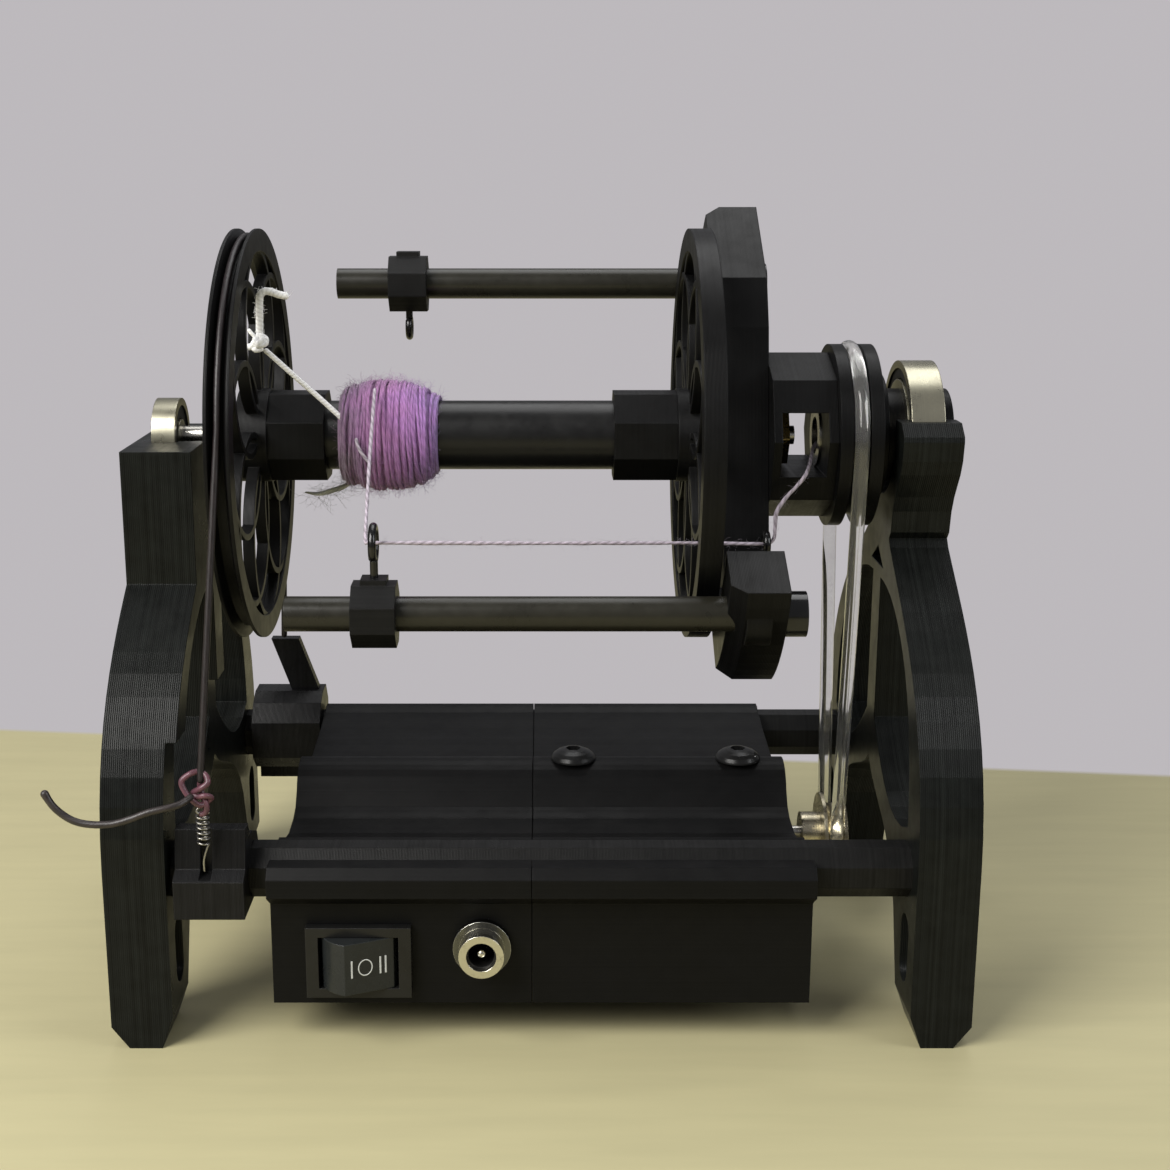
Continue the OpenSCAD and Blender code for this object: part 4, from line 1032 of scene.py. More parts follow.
def wound_turns(
    name: str, winding: Winding, material: bpy.types.Material
) -> bpy.types.Object:
    """Winds a layer of yarn.

    Args:
        name: Name of the piece.
        winding: The layer.
        material: Its material.

    Returns:
        The rings as one object.
    """
    pattern = Pattern(
        "wound_turns",
        {
            "Turns": winding.turns,
            "Length": winding.length,
            "End Radius": winding.end_radius,
            "Bulge": winding.bulge,
            "Yarn Radius": winding.yarn_radius,
            "Sway": winding.sway,
            "Material": material,
        },
    )
    tilt, seed = winding.tilt, winding.seed
    closeness = 0.02
    sunk, proud = -0.00022, 0.00012
    graph, ins = pattern.graph, pattern.inputs
    points = graph.add("GeometryNodePoints", {"Count": ins["Turns"]}).outputs[0]
    index = graph.add("GeometryNodeInputIndex").outputs[0]
    step = graph.math("DIVIDE", graph.math("ADD", index, 0.5), ins["Turns"])
    share = graph.math("MULTIPLY_ADD", step, 2.0, -1.0)
    share = graph.math("ADD", share, random_value(graph, -closeness, closeness, seed))
    place = graph.math("MULTIPLY", share, graph.math("MULTIPLY", ins["Length"], 0.5))
    skewed = graph.math("ADD", share, BARREL_SKEW)
    dome = graph.math("SUBTRACT", 1.0, graph.math("MULTIPLY", skewed, skewed))
    dome = graph.math("POWER", graph.math("MAXIMUM", dome, 0.0), BARREL_POWER)
    size = graph.math("MULTIPLY_ADD", dome, ins["Bulge"], ins["End Radius"])
    size = graph.math("ADD", size, random_value(graph, sunk, proud, seed + 1))
    centre = graph.add("ShaderNodeCombineXYZ", {0: place}).outputs[0]
    inputs = {"Geometry": points, "Position": centre}
    points = graph.add("GeometryNodeSetPosition", inputs).outputs[0]
    inputs = {"Resolution": 60, "Radius": 1.0}
    ring = graph.add("GeometryNodeCurvePrimitiveCircle", inputs).outputs[0]
    lean = graph.add(
        "ShaderNodeCombineXYZ",
        {
            1: graph.math("ADD", random_value(graph, -tilt, tilt, seed + 3), math.pi / 2),
            2: random_value(graph, -tilt, tilt, seed + 4),
        },
    ).outputs[0]
    rings = graph.add(
        "GeometryNodeInstanceOnPoints",
        {"Points": points, "Instance": ring, "Rotation": lean, "Scale": size},
    ).outputs[0]
    rings = graph.add("GeometryNodeRealizeInstances", {0: rings}).outputs[0]
    spot = graph.add("GeometryNodeInputPosition").outputs[0]
    spread = graph.vector("MULTIPLY", spot, (900.0, 70.0, 70.0))
    inputs = {"Vector": spread, "Scale": 1.0, "Detail": 1.0}
    drift = graph.add("ShaderNodeTexNoise", inputs).outputs[1]
    drift = graph.vector("SUBTRACT", drift, (0.5, 0.5, 0.5))
    sideways = graph.vector("MULTIPLY", drift, (1.0, 0.14, 0.14))
    inputs = {0: sideways, 3: ins["Sway"]}
    moved = graph.add("ShaderNodeVectorMath", inputs, operation="SCALE").outputs[0]
    rings = graph.add("GeometryNodeSetPosition", {"Geometry": rings, "Offset": moved}).outputs[0]
    rings = graph.add(
        "GeometryNodeTransform",
        {"Geometry": rings, "Translation": (winding.middle, 0.0, AXIS_Z * MM)},
    ).outputs[0]
    pattern.finish(strand_mesh(graph, rings, ins["Yarn Radius"], 7))
    return pattern.run(name)


def fuzz(
    name: str,
    host: bpy.types.Object,
    density: float,
    length: float,
    thickness: float,
    seed: int,
    material: bpy.types.Material,
) -> bpy.types.Object:
    """Scatters loose fibres over a strand or a winding.

    Args:
        name: Name of the piece.
        host: The mesh that the fibres stand on.
        density: Fibres for each square metre.
        length: Length of a fibre.
        thickness: Radius of a fibre.
        seed: Seed of the random parts.
        material: Its material.

    Returns:
        The fibres as one object.
    """
    values = {"Density": density, "Length": length, "Thickness": thickness, "Material": material}
    pattern = Pattern("loose_fibres", values)
    graph, ins = pattern.graph, pattern.inputs
    spots = graph.add(
        "GeometryNodeDistributePointsOnFaces",
        {"Mesh": ins["Geometry"], "Density": ins["Density"], "Seed": seed},
        distribute_method="RANDOM",
    )
    hair = graph.add(
        "GeometryNodeCurveQuadraticBezier",
        {
            "Resolution": 5,
            "Start": (0.0, 0.0, -0.05),
            "Middle": (0.45, 0.1, 0.5),
            "End": (1.0, 0.0, 0.12),
        },
    ).outputs[0]
    hairs = graph.add(
        "GeometryNodeInstanceOnPoints",
        {
            "Points": spots.outputs["Points"],
            "Instance": hair,
            "Rotation": spots.outputs["Rotation"],
        },
    ).outputs[0]
    spin = graph.add(
        "ShaderNodeCombineXYZ", {2: random_value(graph, 0.0, 2 * math.pi, seed + 1)}
    ).outputs[0]
    inputs = {"Instances": hairs, "Rotation": spin}
    hairs = graph.add("GeometryNodeRotateInstances", inputs).outputs[0]
    size = graph.math("MULTIPLY", ins["Length"], random_value(graph, 0.35, 1.3, seed + 2))
    tall = graph.math("MULTIPLY", size, random_value(graph, 0.15, 1.1, seed + 3))
    scale = graph.add("ShaderNodeCombineXYZ", {0: size, 1: size, 2: tall}).outputs[0]
    hairs = graph.add("GeometryNodeScaleInstances", {"Instances": hairs, "Scale": scale}).outputs[0]
    hairs = graph.add("GeometryNodeRealizeInstances", {0: hairs}).outputs[0]
    pattern.finish(strand_mesh(graph, hairs, ins["Thickness"], 3))
    return pattern.run(name, host)


def coil(
    name: str,
    curls: float,
    radius: float,
    height: float,
    wire: float,
    base: Point,
    material: bpy.types.Material,
) -> bpy.types.Object:
    """Winds a spring upwards from a base point.

    Args:
        name: Name of the piece.
        curls: Number of curls.
        radius: Radius of the coil.
        height: Height of the coil.
        wire: Radius of the wire.
        base: Middle of its lower end, in metres.
        material: Its material.

    Returns:
        The coil as an object.
    """
    values = {
        "Curls": curls,
        "Radius": radius,
        "Height": height,
        "Wire": wire,
        "Material": material,
    }
    pattern = Pattern("coiled_wire", values)
    graph, ins = pattern.graph, pattern.inputs
    curve = graph.add(
        "GeometryNodeCurveSpiral",
        {
            "Resolution": 28,
            "Rotations": ins["Curls"],
            "Start Radius": ins["Radius"],
            "End Radius": ins["Radius"],
            "Height": ins["Height"],
        },
    ).outputs[0]
    curve = graph.add("GeometryNodeTransform", {"Geometry": curve, "Translation": base}).outputs[0]
    pattern.finish(strand_mesh(graph, curve, ins["Wire"], 8))
    return pattern.run(name)


# ------------------------------------------------------------------ sub-assemblies


@dataclass
class Assembly:
    """Part of the spinner: the solids that it dresses and the pieces that it adds.

    Its sizes are in millimetres.
    """

    finishes: dict[str, str] = field(default_factory=dict)

    def dress(self) -> None:
        """Gives each of its solids its material."""
        for node, finish in self.finishes.items():
            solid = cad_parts[node]
            if not solid.material_slots:
                solid.data.materials.append(None)
            for socket in solid.material_slots:
                socket.material = FINISHES[finish]
            LOG.info("solid %s: %s", node, finish)

    def keep(self, piece: bpy.types.Object, body: str, slot: str, *nodes: str) -> None:
        """Hangs a piece that this part adds on its body, and hides the solids that it replaces.

        Args:
            piece: The piece.
            body: The body that it rides on.
            slot: Not used.
            nodes: The solids that it replaces.
        """
        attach(piece, body)
        if nodes:
            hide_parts(*nodes)
        LOG.info("piece %s rides on %s", piece.name, body)


@dataclass
class Stand(Assembly):
    """End frames, rods and the bearings' outer rings."""

    finishes: dict[str, str] = field(
        default_factory=lambda: {
            "left_frame": "frame_print",
            "right_frame": "frame_print",
            "front_rod": "rod_print",
            "rear_rod": "rod_print",
            "left_bearing_outer": "bearing_steel_left",
            "right_bearing_outer": "bearing_steel_right",
        }
    )


@dataclass
class MotorCase(Assembly):
    """The case between the rods, with its switch and power jack."""

    finishes: dict[str, str] = field(
        default_factory=lambda: {
            "control_housing": "case_print",
            "motor_housing": "case_print",
            "housing_screws": "black_screw",
            "motor_can": "motor_steel",
            "switch_body": "switch_plastic",
            "switch_rocker": "rocker_plastic",
            "jack_barrel": "jack_metal",
            "jack_nut": "jack_ring",
            "jack_pin": "jack_metal",
        }
    )
    pivot: Point = (-36.5, -48.6, 18.1)
    face: float = 5.9
    tilt: float = 23.0
    mark_width: float = 0.36
    mark_height: float = 3.7
    mark_thick: float = 0.05
    bars: tuple[tuple[str, tuple[float, ...]], ...] = (
        ("rocker_mark_one", (-3.6,)),
        ("rocker_mark_two", (2.3, 3.4)),
    )
    ring_across: float = -0.8
    ring_radii: tuple[float, float] = (1.4, 1.65)
    ring_sunk: float = 0.12
    jack_x: float = -11.9
    jack_z: float = 21.0
    lining: tuple[tuple[float, float], ...] = (
        (3.0, -54.9), (2.62, -54.9), (2.55, -47.2), (1.25, -47.2), (1.25, -46.6), (3.0, -46.6),
    )

    def add_lining(self) -> None:
        """Lines the jack's bore with the socket's black insulation, round its bright pin.

        The outline holds (radius, Y) pairs, turned about the jack's own axis.
        """
        vertices, faces = [], []
        sides, count = 48, len(self.lining)
        for radius, y in self.lining:
            for k in range(sides):
                a = 2 * math.pi * k / sides
                x, z = self.jack_x + radius * math.cos(a), self.jack_z + radius * math.sin(a)
                vertices.append((x * MM, y * MM, z * MM))
        for i in range(count):
            for k in range(sides):
                n, j = (k + 1) % sides, (i + 1) % count
                faces.append((i * sides + k, j * sides + k, j * sides + n, i * sides + n))
        lining = mesh_piece("jack_lining", vertices, faces, FINISHES["switch_plastic"])
        lining.data.shade_flat()
        self.keep(lining, "stand", "switch_plastic")

    def bar(self, across: float) -> list[tuple[float, float]]:
        """Outline of an upright bar of a mark, in the rocker's face."""
        w, h = self.mark_width / 2, self.mark_height / 2
        return [(across - w, -h), (across + w, -h), (across + w, h), (across - w, h)]

    def add_marks(self) -> None:
        """Lays the switch's three marks on the rocker: one bar, a ring and two bars."""
        turn = Matrix.Rotation(math.radians(self.tilt), 3, "Z")
        origin = Vector(self.pivot)

        def seat(across: float, up: float, out: float) -> Vector:
            """A point of the rocker's face in metres, out from it by a small distance."""
            return (origin + turn @ Vector((across, -self.face - out, up))) * MM

        for name, places in self.bars:
            vertices, faces = [], []
            for outline in (self.bar(across) for across in places):
                first = len(vertices)
                vertices += [seat(a, u, -self.mark_thick) for a, u in outline]
                vertices += [seat(a, u, self.mark_thick) for a, u in outline]
                front = [first + 4 + i for i in range(4)]
                back = [first + 3 - i for i in range(4)]
                sides = [
                    (first + i, first + (i + 1) % 4, first + 4 + (i + 1) % 4, first + 4 + i)
                    for i in range(4)
                ]
                faces += [front, back, *sides]
            piece = mesh_piece(name, vertices, faces, FINISHES["switch_mark"])
            piece.data.shade_flat()
            self.keep(piece, "rocker", "rocker_plastic")
        wide, high = self.ring_radii
        ring = [
            seat(wide * math.cos(a) + self.ring_across, high * math.sin(a), -self.ring_sunk)
            for a in (2 * math.pi * i / 48 for i in range(48))
        ]
        wire = self.mark_width / 2 * MM
        zero = tube("rocker_mark_off", ring, wire, FINISHES["switch_mark"], 8, True)
        self.keep(zero, "rocker", "rocker_plastic")


@dataclass
class Drive(Assembly):
    """Motor shaft, pulleys and the clear round belt."""

    finishes: dict[str, str] = field(
        default_factory=lambda: {
            "motor_shaft": "steel",
            "motor_pulley": "brass",
            "drive_pulley": "flyer_print",
        }
    )
    belt_x: float = 65.9
    upper_pitch: float = 18.8
    lower_pitch: float = 8.4
    motor_z: float = 25.0
    belt_radius: float = 1.5

    def add_belt(self) -> None:
        """Runs the belt round both pulleys, in the pulleys' plane."""
        lean = math.asin((self.upper_pitch - self.lower_pitch) / (AXIS_Z - self.motor_z))

        def arc(z: float, pitch: float, start: float, span: float, count: int) -> list[Vector]:
            """Points of the belt round one pulley."""
            made = []
            for i in range(count):
                a = start + span * i / (count - 1)
                y, up = pitch * math.cos(a), z + pitch * math.sin(a)
                made.append(Vector((self.belt_x, y, up)) * MM)
            return made

        upper = arc(AXIS_Z, self.upper_pitch, -lean, math.pi + 2 * lean, 60)
        lower = arc(self.motor_z, self.lower_pitch, math.pi + lean, math.pi - 2 * lean, 36)
        down = [upper[-1].lerp(lower[0], i / 40) for i in range(1, 40)]
        up = [lower[-1].lerp(upper[0], i / 40) for i in range(1, 40)]
        line = [*upper, *down, *lower, *up]
        radius = self.belt_radius * MM
        belt = tube("drive_belt_ring", line, radius, FINISHES["clear_belt"], 20, True)
        self.keep(belt, "stand", "clear_belt", "drive_belt")


@dataclass
class Flyer(Assembly):
    """The turning flyer with its arms, hooks, cage and orifice."""

    finishes: dict[str, str] = field(
        default_factory=lambda: {
            "left_bearing_inner": "bearing_steel_left",
            "right_bearing_inner": "bearing_steel_right",
            "flyer_shaft": "steel",
            "shaft_nut": "nut_brass",
            "flyer_body": "flyer_print",
            "flyer_cage": "flyer_print",
            "orifice_tube": "flyer_print",
            "orifice_bushing": "steel",
            "back_arm": "arm_rod",
            "front_arm": "arm_rod",
            "back_arm_cap": "cap_plastic",
            "front_arm_cap": "cap_plastic",
            "back_slider": "slider_print",
            "front_slider": "slider_print",
            "back_hook": "hook_wire",
            "front_hook": "hook_wire",
            "body_hook": "hook_wire",
        }
    )
    strand: Sequence[Point] = (
        (-34.9, -9.2, 127.6), (-34.9, -23.6, 114.7), (-34.6, -37.4, 102.2), (-34.0, -38.6, 101.0),
        (-32.6, -38.4, 100.8), (-28.0, -37.6, 100.6), (0.0, -30.0, 98.9), (30.0, -22.2, 97.3),
        (44.0, -18.5, 96.3), (46.9, -17.6, 96.1), (48.5, -17.2, 97.15), (48.7, -17.3, 100.05),
        (48.9, -17.4, 102.85), (50.7, -17.0, 105.7), (53.3, -16.5, 108.45), (54.9, -15.9, 110.45),
        (56.3, -11.6, 111.85), (57.4, -7.0, 113.05), (58.5, -2.8, 114.25), (60.4, -1.2, 115.45),
        (66.0, -0.6, 116.2), (86.0, 0.0, 116.2),
    )

    strand_radius: float = 0.43
    fibre_length: float = 1.6
    fibre_radius: float = 0.012

    def add_strand(self) -> None:
        """Runs the fresh yarn from the bobbin over the hooks into the orifice."""
        paint = FINISHES["yarn_single"]
        line = Route(self.strand, 12).line()
        uneven = random.Random(7)
        beats = [uneven.uniform(0.75, 1.1) for _ in range(60)]

        def swell(share: float) -> float:
            """Thick and thin places of hand-spun yarn."""
            at = share * (len(beats) - 1)
            i = int(at)
            return beats[i] + (beats[min(i + 1, len(beats) - 1)] - beats[i]) * (at - i)

        radius = self.strand_radius * MM
        yarn = tube("yarn_single_strand", line, radius, paint, 10, swell=swell)
        self.keep(yarn, "flyer", "yarn_single", "yarn_strand")
        hairs = fuzz(
            "yarn_single_fuzz", yarn, density=1.2e6, length=self.fibre_length * MM,
            thickness=self.fibre_radius * MM, seed=11, material=paint,
        )
        self.keep(hairs, "flyer", "yarn_single")


@dataclass
class Bobbin(Assembly):
    """The bobbin with the yarn wound on it and its leader."""

    finishes: dict[str, str] = field(
        default_factory=lambda: {
            "bobbin_left_flange": "bobbin_print",
            "bobbin_right_flange": "bobbin_print",
            "bobbin_left_collar": "bobbin_print",
            "bobbin_right_collar": "bobbin_print",
            "bobbin_tube": "bobbin_tube",
        }
    )
    yarn_middle: float = -32.55
    yarn_length: float = 22.0
    yarn_radius: float = 0.37
    tube_radius: float = 7.45
    core_radius: float = 7.9
    core_bulge: float = 3.0
    core_inset: float = 0.5
    turns_inset: float = 0.6
    leader: Sequence[Point] = (
        (-41.0, -8.3, 120.2), (-42.9, -8.1, 121.9), (-46.5, -8.6, 125.4),
        (-50.5, -9.4, 129.2), (-54.0, -10.2, 132.6), (-57.5, -11.0, 136.0),
    )
    leader_end: Sequence[Point] = (
        (-58.3, -11.0, 137.8), (-58.3, -11.0, 139.3), (-58.2, -11.0, 142.8),
        (-58.1, -11.0, 145.4), (-57.9, -11.0, 146.9), (-57.1, -11.0, 147.8),
        (-55.7, -10.8, 147.7), (-54.1, -10.6, 147.1), (-52.0, -10.4, 146.7),
    )
    roving: Sequence[Point] = (
        (-40.6, 2.0, 106.7), (-43.2, 3.0, 104.7), (-46.6, 4.0, 103.4), (-49.4, 5.0, 102.6),
        (-52.4, 6.0, 102.8),
    )
    loose_end: Sequence[Point] = (
        (-38.8, -12.2, 117.6), (-38.4, -12.6, 116.0), (-37.5, -12.8, 114.3), (-35.7, -12.6, 112.0),
    )
    leader_knot: Sequence[Point] = (
        (-57.5, -11.8, 136.4), (-58.9, -12.4, 135.9), (-59.7, -11.6, 136.9),
        (-58.6, -11.0, 138.2), (-57.2, -11.3, 138.4), (-56.9, -12.1, 137.3),
        (-58.2, -12.7, 136.9), (-59.2, -12.2, 137.7), (-58.3, -11.4, 138.9),
        (-57.4, -12.2, 138.0), (-58.3, -12.9, 137.4), (-58.6, -12.2, 136.2),
    )
    leader_stub: Sequence[Point] = (
        (-59.0, -12.0, 136.9), (-60.4, -12.0, 136.5), (-61.8, -12.0, 136.5),
    )
    leader_spur: Sequence[Point] = (
        (-58.5, -12.0, 137.9), (-59.7, -12.0, 139.2), (-60.5, -12.0, 140.2),
    )

    def add_winding(self) -> None:
        """Winds the yarn: a soft core, two layers of turns that cross, and loose fibres."""
        wool = FINISHES["yarn"]
        half = self.yarn_length / 2 - self.core_inset
        profile = []
        for i in range(-12, 13):
            share = i / 12
            dome = max(0.0, 1 - (share + BARREL_SKEW) ** 2) ** BARREL_POWER
            radius = self.core_radius + self.core_bulge * dome
            profile.append((self.yarn_middle + share * half, radius))
        start, end = profile[0][0], profile[-1][0]
        profile = [(start, self.tube_radius), *profile, (end, self.tube_radius)]
        core = lathe("wound_yarn_core", profile, wool)
        self.keep(core, "bobbin", "yarn", "yarn_core")
        under = Winding(
            turns=34,
            length=(self.yarn_length - 2 * self.turns_inset) * MM,
            middle=self.yarn_middle * MM,
            end_radius=8.2 * MM,
            bulge=3.1 * MM,
            yarn_radius=self.yarn_radius * MM,
            sway=0.0012,
            tilt=0.06,
            seed=3,
        )
        outer = replace(
            under, turns=36, end_radius=8.4 * MM, bulge=3.25 * MM, sway=0.0015, tilt=0.075, seed=17
        )
        self.keep(wound_turns("wound_yarn_under", under, wool), "bobbin", "yarn")
        rings = wound_turns("wound_yarn_turns", outer, wool)
        self.keep(rings, "bobbin", "yarn", "yarn_winding")
        hairs = fuzz(
            "wound_yarn_fuzz", rings, density=1.1e6, length=2.4 * MM, thickness=0.017 * MM,
            seed=5, material=wool,
        )
        self.keep(hairs, "bobbin", "yarn")
        line, paint = Route(self.loose_end, 8).line(), FINISHES["yarn_single"]
        end = tube("wound_yarn_end", line, 0.35 * MM, paint, 10)
        self.keep(end, "bobbin", "yarn")

    def add_leader(self) -> None:
        """Ties the white leader through the left flange: the run, its knot and its frayed end."""
        paint = FINISHES["leader_yarn"]
        runs = (
            ("leader_run", self.leader, 10, 0.56, 14, ("yarn_leader",)),
            ("leader_end", self.leader_end, 10, 0.78, 14, ()),
            ("leader_knot", self.leader_knot, 8, 0.62, 12, ()),
            ("leader_stub", self.leader_stub, 8, 0.7, 12, ()),
            ("leader_spur", self.leader_spur, 8, 0.4, 10, ()),
        )
        made = {}
        for name, points, steps, radius, sides, replaced in runs:
            made[name] = tube(name, Route(points, steps).line(), radius * MM, paint, sides)
            self.keep(made[name], "bobbin", "leader_yarn", *replaced)
        hairs = fuzz(
            "leader_fray", made["leader_end"], density=1.2e6, length=1.3 * MM,
            thickness=0.035 * MM, seed=23, material=paint,
        )
        self.keep(hairs, "bobbin", "leader_yarn")

    def add_roving(self) -> None:
        """Lets a pale wisp of fibre hang from the winding's left end."""

        def taper(share: float) -> float:
            """Thin at both ends and full in between."""
            return 0.35 + 0.9 * math.sin(math.pi * min(1.0, share * 0.9 + 0.1)) ** 0.8

        line, paint = Route(self.roving, 10).line(), FINISHES["roving"]
        wisp = tube("roving_wisp", line, 0.45 * MM, paint, 12, swell=taper)
        self.keep(wisp, "bobbin", "yarn")
        hairs = fuzz(
            "roving_fuzz", wisp, density=3.4e6, length=4.6 * MM, thickness=0.022 * MM, seed=31,
            material=paint,
        )
        self.keep(hairs, "bobbin", "yarn")


@dataclass
class Brake(Assembly):
    """Clip, spring and the cord that brakes the bobbin."""

    finishes: dict[str, str] = field(
        default_factory=lambda: {
            "tension_clip": "clip_print",
            "rear_bracket": "clip_print",
            "bracket_bar": "clip_print",
        }
    )
    knot: Point = (-66.0, -54.0, 55.0)
    anchor: Point = (-64.0, 43.0, 59.4)
    groove_x: float = -62.1
    wrap_radius: float = 42.2
    cord_radius: float = 0.7
    tail: Sequence[Point] = (
        (-67.2, -55.4, 54.6), (-69.6, -58.6, 53.8), (-74.6, -60.0, 53.0), (-81.4, -60.4, 50.8),
        (-88.0, -60.4, 51.0), (-92.4, -60.0, 53.6), (-94.8, -59.6, 57.2),
    )
    knot_scale: float = 0.82
    knot_cord_radius: float = 0.58
    knot_loops: Sequence[Point] = (
        (-2.3, 0.2, 4.2), (-4.3, -0.3, 2.5), (-3.2, -0.9, -0.2), (-0.9, -1.1, -2.7),
        (0.4, -0.5, -3.2), (1.5, 0.5, -2.7), (2.4, 0.2, -1.7), (1.2, -0.9, -0.8),
        (-0.7, -0.3, -1.3), (-1.9, 0.5, -0.8), (-1.4, 0.1, -0.1), (0.4, -1.0, 1.1),
        (1.9, -0.5, 2.3), (1.2, 0.5, 3.9), (-0.5, 1.0, 4.5),
    )
    knot_eye: Sequence[Point] = (
        (0.0, 0.3, 2.6), (-0.2, 0.9, 0.6), (0.6, 0.3, -1.6), (1.2, -0.3, -3.0),
        (1.3, -0.3, -4.6), (0.5, -0.2, -5.7), (-0.6, 0.2, -5.6),
    )
    spring_curls: float = 6.0
    spring_radius: float = 1.2
    spring_height: float = 6.3
    spring_drop: float = 11.0
    wire_radius: float = 0.21

    def add_tail(self) -> None:
        """Leaves the cord's free end in the air beside the left frame, as its knot holds it."""
        line = Route(self.tail, 4).line()

        def sealed(share: float) -> float:
            """A little swelling where the tip was melted."""
            return 1.0 + 0.22 * max(0.0, (share - 0.93) / 0.07)

        radius, paint = self.cord_radius * MM, FINISHES["tail_cord"]
        cord = tube("brake_cord_free_end", line, radius, paint, 12, swell=sealed)
        self.keep(cord, "stand", "tail_cord", "brake_cord_tail")
        tuple(line[0])
        lengths(line)[-1]
        2 * radius

    def add_cord(self) -> None:
        """Runs the cord from its knot over the flange's groove to the rear bracket."""

        def tangent(point: Point, turn: float) -> float:
            """Angle at which a straight run from a point meets the groove."""
            y, z = point[1], point[2] - AXIS_Z
            return math.atan2(z, y) + turn * math.acos(self.wrap_radius / math.hypot(y, z))

        start = tangent(self.knot, -1.0) + 2 * math.pi
        stop = tangent(self.anchor, 1.0)
        arc = []
        for i in range(111):
            a = start + (stop - start) * i / 110
            y, z = self.wrap_radius * math.cos(a), AXIS_Z + self.wrap_radius * math.sin(a)
            arc.append(Vector((self.groove_x, y, z)) * MM)
        first = (Vector(self.knot) + Vector((0.0, 0.0, 1.6))) * MM
        line = [first.lerp(arc[0], i / 30) for i in range(30)] + arc
        line += [arc[-1].lerp(Vector(self.anchor) * MM, i / 30) for i in range(1, 31)]
        # The run takes the groove cord finish: the cord's colour darkened nearly to black as
        # painted shade in the groove.
        cord = tube("brake_cord_run", line, self.cord_radius * MM, FINISHES["groove_cord"], 12)
        self.keep(cord, "stand", "cord", "brake_cord")

    def tie(self, name: str, outline: Sequence[Point], closed: bool) -> bpy.types.Object:
        """Ties a part of the knot.

        Args:
            name: Name of the piece.
            outline: Its points from the knot's middle, before they are drawn in.
            closed: Whether it closes on itself.

        Returns:
            The piece.
        """
        shrink = self.knot_scale
        places = [tuple(k + shrink * p for k, p in zip(self.knot, point)) for point in outline]
        line = Route(places, 8, closed).line()
        return tube(name, line, self.knot_cord_radius * MM, FINISHES["cord"], 12, closed)

    def add_knot(self) -> None:
        """Ties the knot: a loop that crosses itself round the cord, and the eye below it."""
        loops = self.tie("brake_cord_knot", self.knot_loops, True)
        self.keep(loops, "stand", "cord", "cord_knot")
        self.keep(self.tie("brake_cord_eye", self.knot_eye, False), "stand", "cord")

    def add_spring(self) -> None:
        """Hangs the bright spring between the cord's eye and the clip."""
        paint, wire = FINISHES["spring_wire"], self.wire_radius * MM
        x, y, z = self.knot
        base = (x * MM, (y + 0.6) * MM, (z - self.spring_drop) * MM)
        curls = coil(
            "tension_spring_coil", self.spring_curls, self.spring_radius * MM,
            self.spring_height * MM, wire, base, paint,
        )
        self.keep(curls, "stand", "steel", "tension_spring")
        ends = {
            "tension_spring_foot": (
                (x, y + 0.2, 38.2), (x, y + 0.2, 40.6), (x + 0.7, y + 0.4, z - 11.9),
                (x + self.spring_radius, y + 0.6, z - self.spring_drop),
            ),
            "tension_spring_eye": (
                (x + self.spring_radius, y + 0.6, z - 4.7), (x + 0.8, y + 0.5, z - 3.9),
                (x - 0.2, y, z - 3.3), (x - 0.9, y - 0.4, z - 3.9), (x - 0.4, y - 0.4, z - 4.6),
            ),
        }
        for name, places in ends.items():
            self.keep(tube(name, Route(places, 8).line(), wire, paint, 8), "stand", "steel")


# ------------------------------------------------------------------ studio


@dataclass(frozen=True)
class Lamp:
    """A square lamp that looks at the spinner, with its side in metres and power in watts."""

    name: str
    place: Point
    size: float
    power: float
    colour: Colour

    def add(self, target: Point) -> None:
        """Adds the lamp to the scene, turned to its target."""
        data = bpy.data.lights.new(self.name, "AREA")
        data.shape, data.size = "SQUARE", self.size
        data.energy, data.color = self.power, self.colour
        lamp = bpy.data.objects.new(self.name, data)
        lamp.location = self.place
        aim = Vector(target) - Vector(self.place)
        lamp.rotation_euler = aim.to_track_quat("-Z", "Y").to_euler()
        bpy.context.scene.collection.objects.link(lamp)


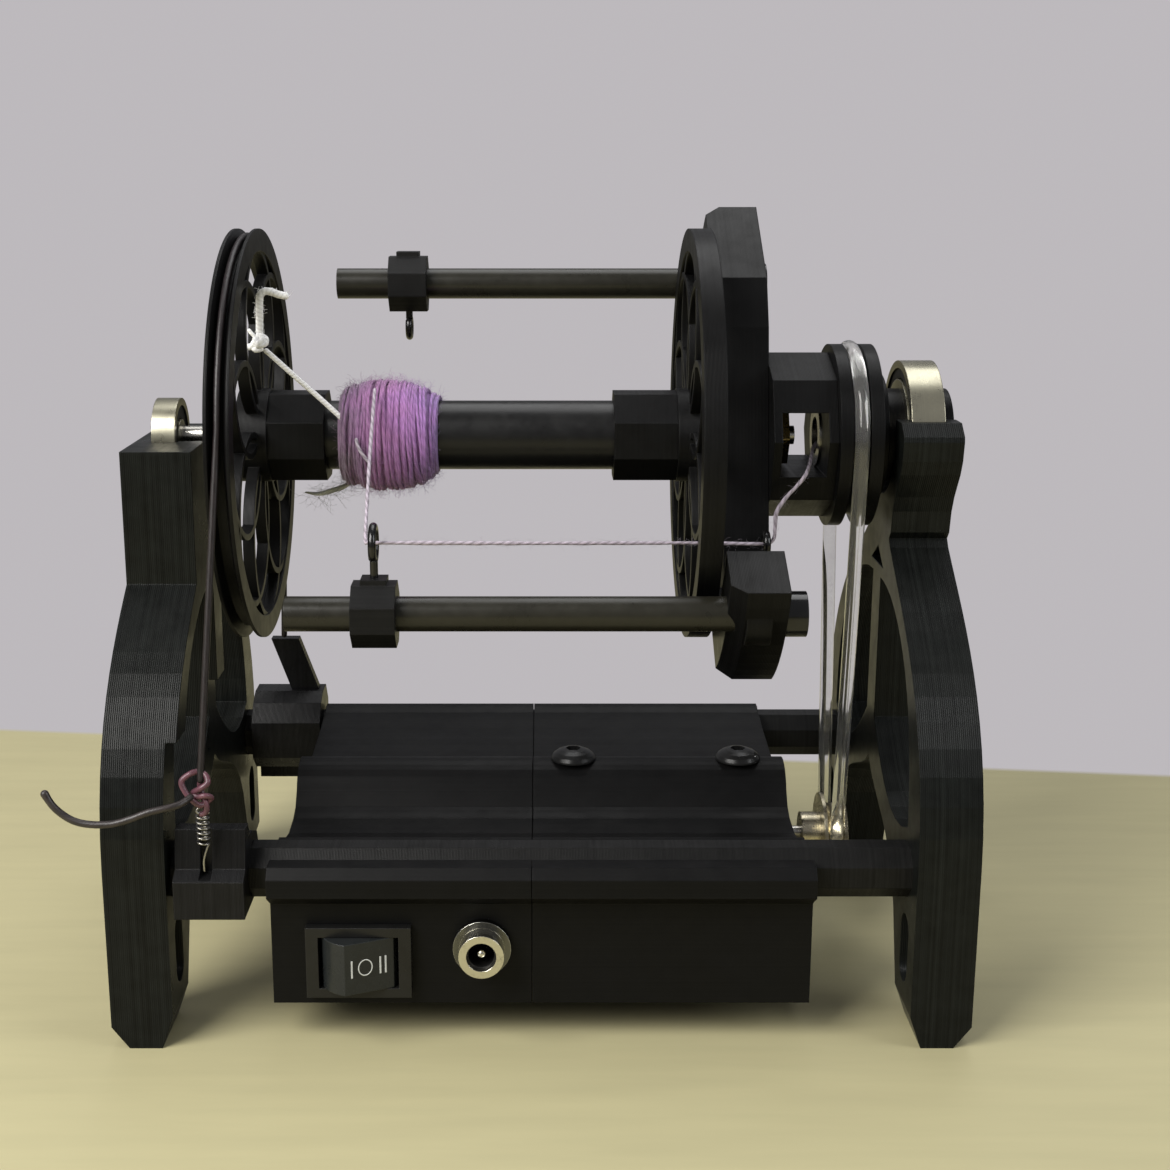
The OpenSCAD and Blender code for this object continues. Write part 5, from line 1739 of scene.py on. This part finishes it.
@dataclass
class Studio:
    """Camera, lamps, table and the pale wall behind it, in metres."""

    lens: float = 51.93
    camera_at: Point = (0.0, -0.36233, 0.16981)
    pitch_down: float = 13.33
    shift: tuple[float, float] = (0.0371, -0.0033)
    table: Colour = (0.475, 0.435, 0.25)
    wall: Colour = (0.51, 0.487, 0.508)
    wall_from: float = 0.127
    wall_slope: float = 0.12
    wall_blend: float = 0.003
    table_reach: float = 6.0
    middle: Point = (0.0, 0.0, 0.07)
    lamps: Sequence[Lamp] = (
        Lamp("key_lamp", (-0.42, -0.40, 0.50), 0.45, 7.2, (1.0, 0.98, 0.95)),
        Lamp("right_lamp", (0.60, -0.25, 0.40), 0.35, 1.7, (0.95, 0.97, 1.0)),
        Lamp("top_lamp", (0.05, 0.25, 0.75), 0.5, 2.0, (1.0, 1.0, 1.0)),
    )

    def add_camera(self) -> None:
        """Places the camera where the photograph was taken from."""
        data = bpy.data.cameras.new("camera")
        data.lens, data.sensor_width = self.lens, 36.0
        data.shift_x, data.shift_y = self.shift
        data.clip_start, data.clip_end = 0.01, 20.0
        camera = bpy.data.objects.new("camera", data)
        camera.location = self.camera_at
        camera.rotation_euler = (math.radians(90 - self.pitch_down), 0.0, 0.0)
        bpy.context.scene.collection.objects.link(camera)
        bpy.context.scene.camera = camera

    def add_world(self) -> None:
        """Lights the scene softly, and shows the wall's colour to the camera and in the belt."""
        world = bpy.data.worlds.new("room")
        world.use_nodes = True
        graph = Graph(world.node_tree)
        world.node_tree.nodes.clear()
        path = graph.add("ShaderNodeLightPath")
        seen = graph.math(
            "MAXIMUM", path.outputs["Is Camera Ray"], path.outputs["Is Transmission Ray"]
        )
        light = {"Color": (0.80, 0.80, 0.84, 1.0), "Strength": 0.27}
        room = graph.add("ShaderNodeBackground", light)
        wall = graph.add("ShaderNodeBackground", {"Color": (*self.wall, 1.0), "Strength": 1.0})
        both = graph.add(
            "ShaderNodeMixShader", {0: seen, 1: room.outputs[0], 2: wall.outputs[0]}
        )
        graph.add("ShaderNodeOutputWorld", {0: both.outputs[0]})
        bpy.context.scene.world = world

    def add_table(self) -> None:
        """Lays the table, which gives way to the wall's colour behind the spinner."""
        far = self.table_reach
        corners = [(-far, -far, 0.0), (far, -far, 0.0), (far, far, 0.0), (-far, far, 0.0)]
        material = bpy.data.materials.new("table_and_wall")
        material.use_nodes = True
        graph = Graph(material.node_tree)
        shader = material.node_tree.nodes["Principled BSDF"]
        output = material.node_tree.nodes["Material Output"]
        place = graph.add("ShaderNodeTexCoord").outputs["Object"]
        parts = graph.add("ShaderNodeSeparateXYZ", {0: place}).outputs
        grain = graph.noise(graph.vector("MULTIPLY", place, (8.0, 60.0, 1.0)), 3.0, 4.0)
        darker = tuple(0.93 * c for c in self.table)
        top = graph.mix(graph.remap(grain, 0.3, 0.7), darker, self.table)
        graph.feed(shader, {"Base Color": top, "Roughness": 0.55})
        edge = graph.math("MULTIPLY_ADD", parts[0], self.wall_slope, parts[1])
        beyond = graph.remap(edge, self.wall_from, self.wall_from + self.wall_blend)
        path = graph.add("ShaderNodeLightPath")
        seen = graph.math(
            "MAXIMUM", path.outputs["Is Camera Ray"], path.outputs["Is Transmission Ray"]
        )
        wall = graph.add("ShaderNodeEmission", {"Color": (*self.wall, 1.0), "Strength": 1.0})
        both = graph.add(
            "ShaderNodeMixShader",
            {0: graph.math("MULTIPLY", beyond, seen), 1: shader.outputs[0], 2: wall.outputs[0]},
        )
        graph.feed(output, {"Surface": both.outputs[0]})
        table = mesh_piece("table_top", corners, [(0, 1, 2, 3)], material)

    def build(self) -> None:
        """Builds the whole studio but for the camera, which comes first."""
        for lamp in self.lamps:
            lamp.add(self.middle)
        self.add_world()
        self.add_table()


def main() -> None:
    """Builds the scene: camera and cord first, then each part of the spinner, then the studio."""
    logging.basicConfig(level=logging.INFO, format="%(name)s: %(message)s")
    bpy.context.scene.view_settings.view_transform = "Standard"
    studio = Studio()
    studio.add_camera()
    brake = Brake()
    brake.add_tail()
    case, drive, flyer, bobbin = MotorCase(), Drive(), Flyer(), Bobbin()
    for part in (Stand(), case, drive, flyer, bobbin, brake):
        part.dress()
    brake.add_cord()
    brake.add_knot()
    brake.add_spring()
    drive.add_belt()
    case.add_marks()
    case.add_lining()
    flyer.add_strand()
    bobbin.add_winding()
    bobbin.add_leader()
    bobbin.add_roving()
    studio.build()


if __name__ == "__main__":
    main()
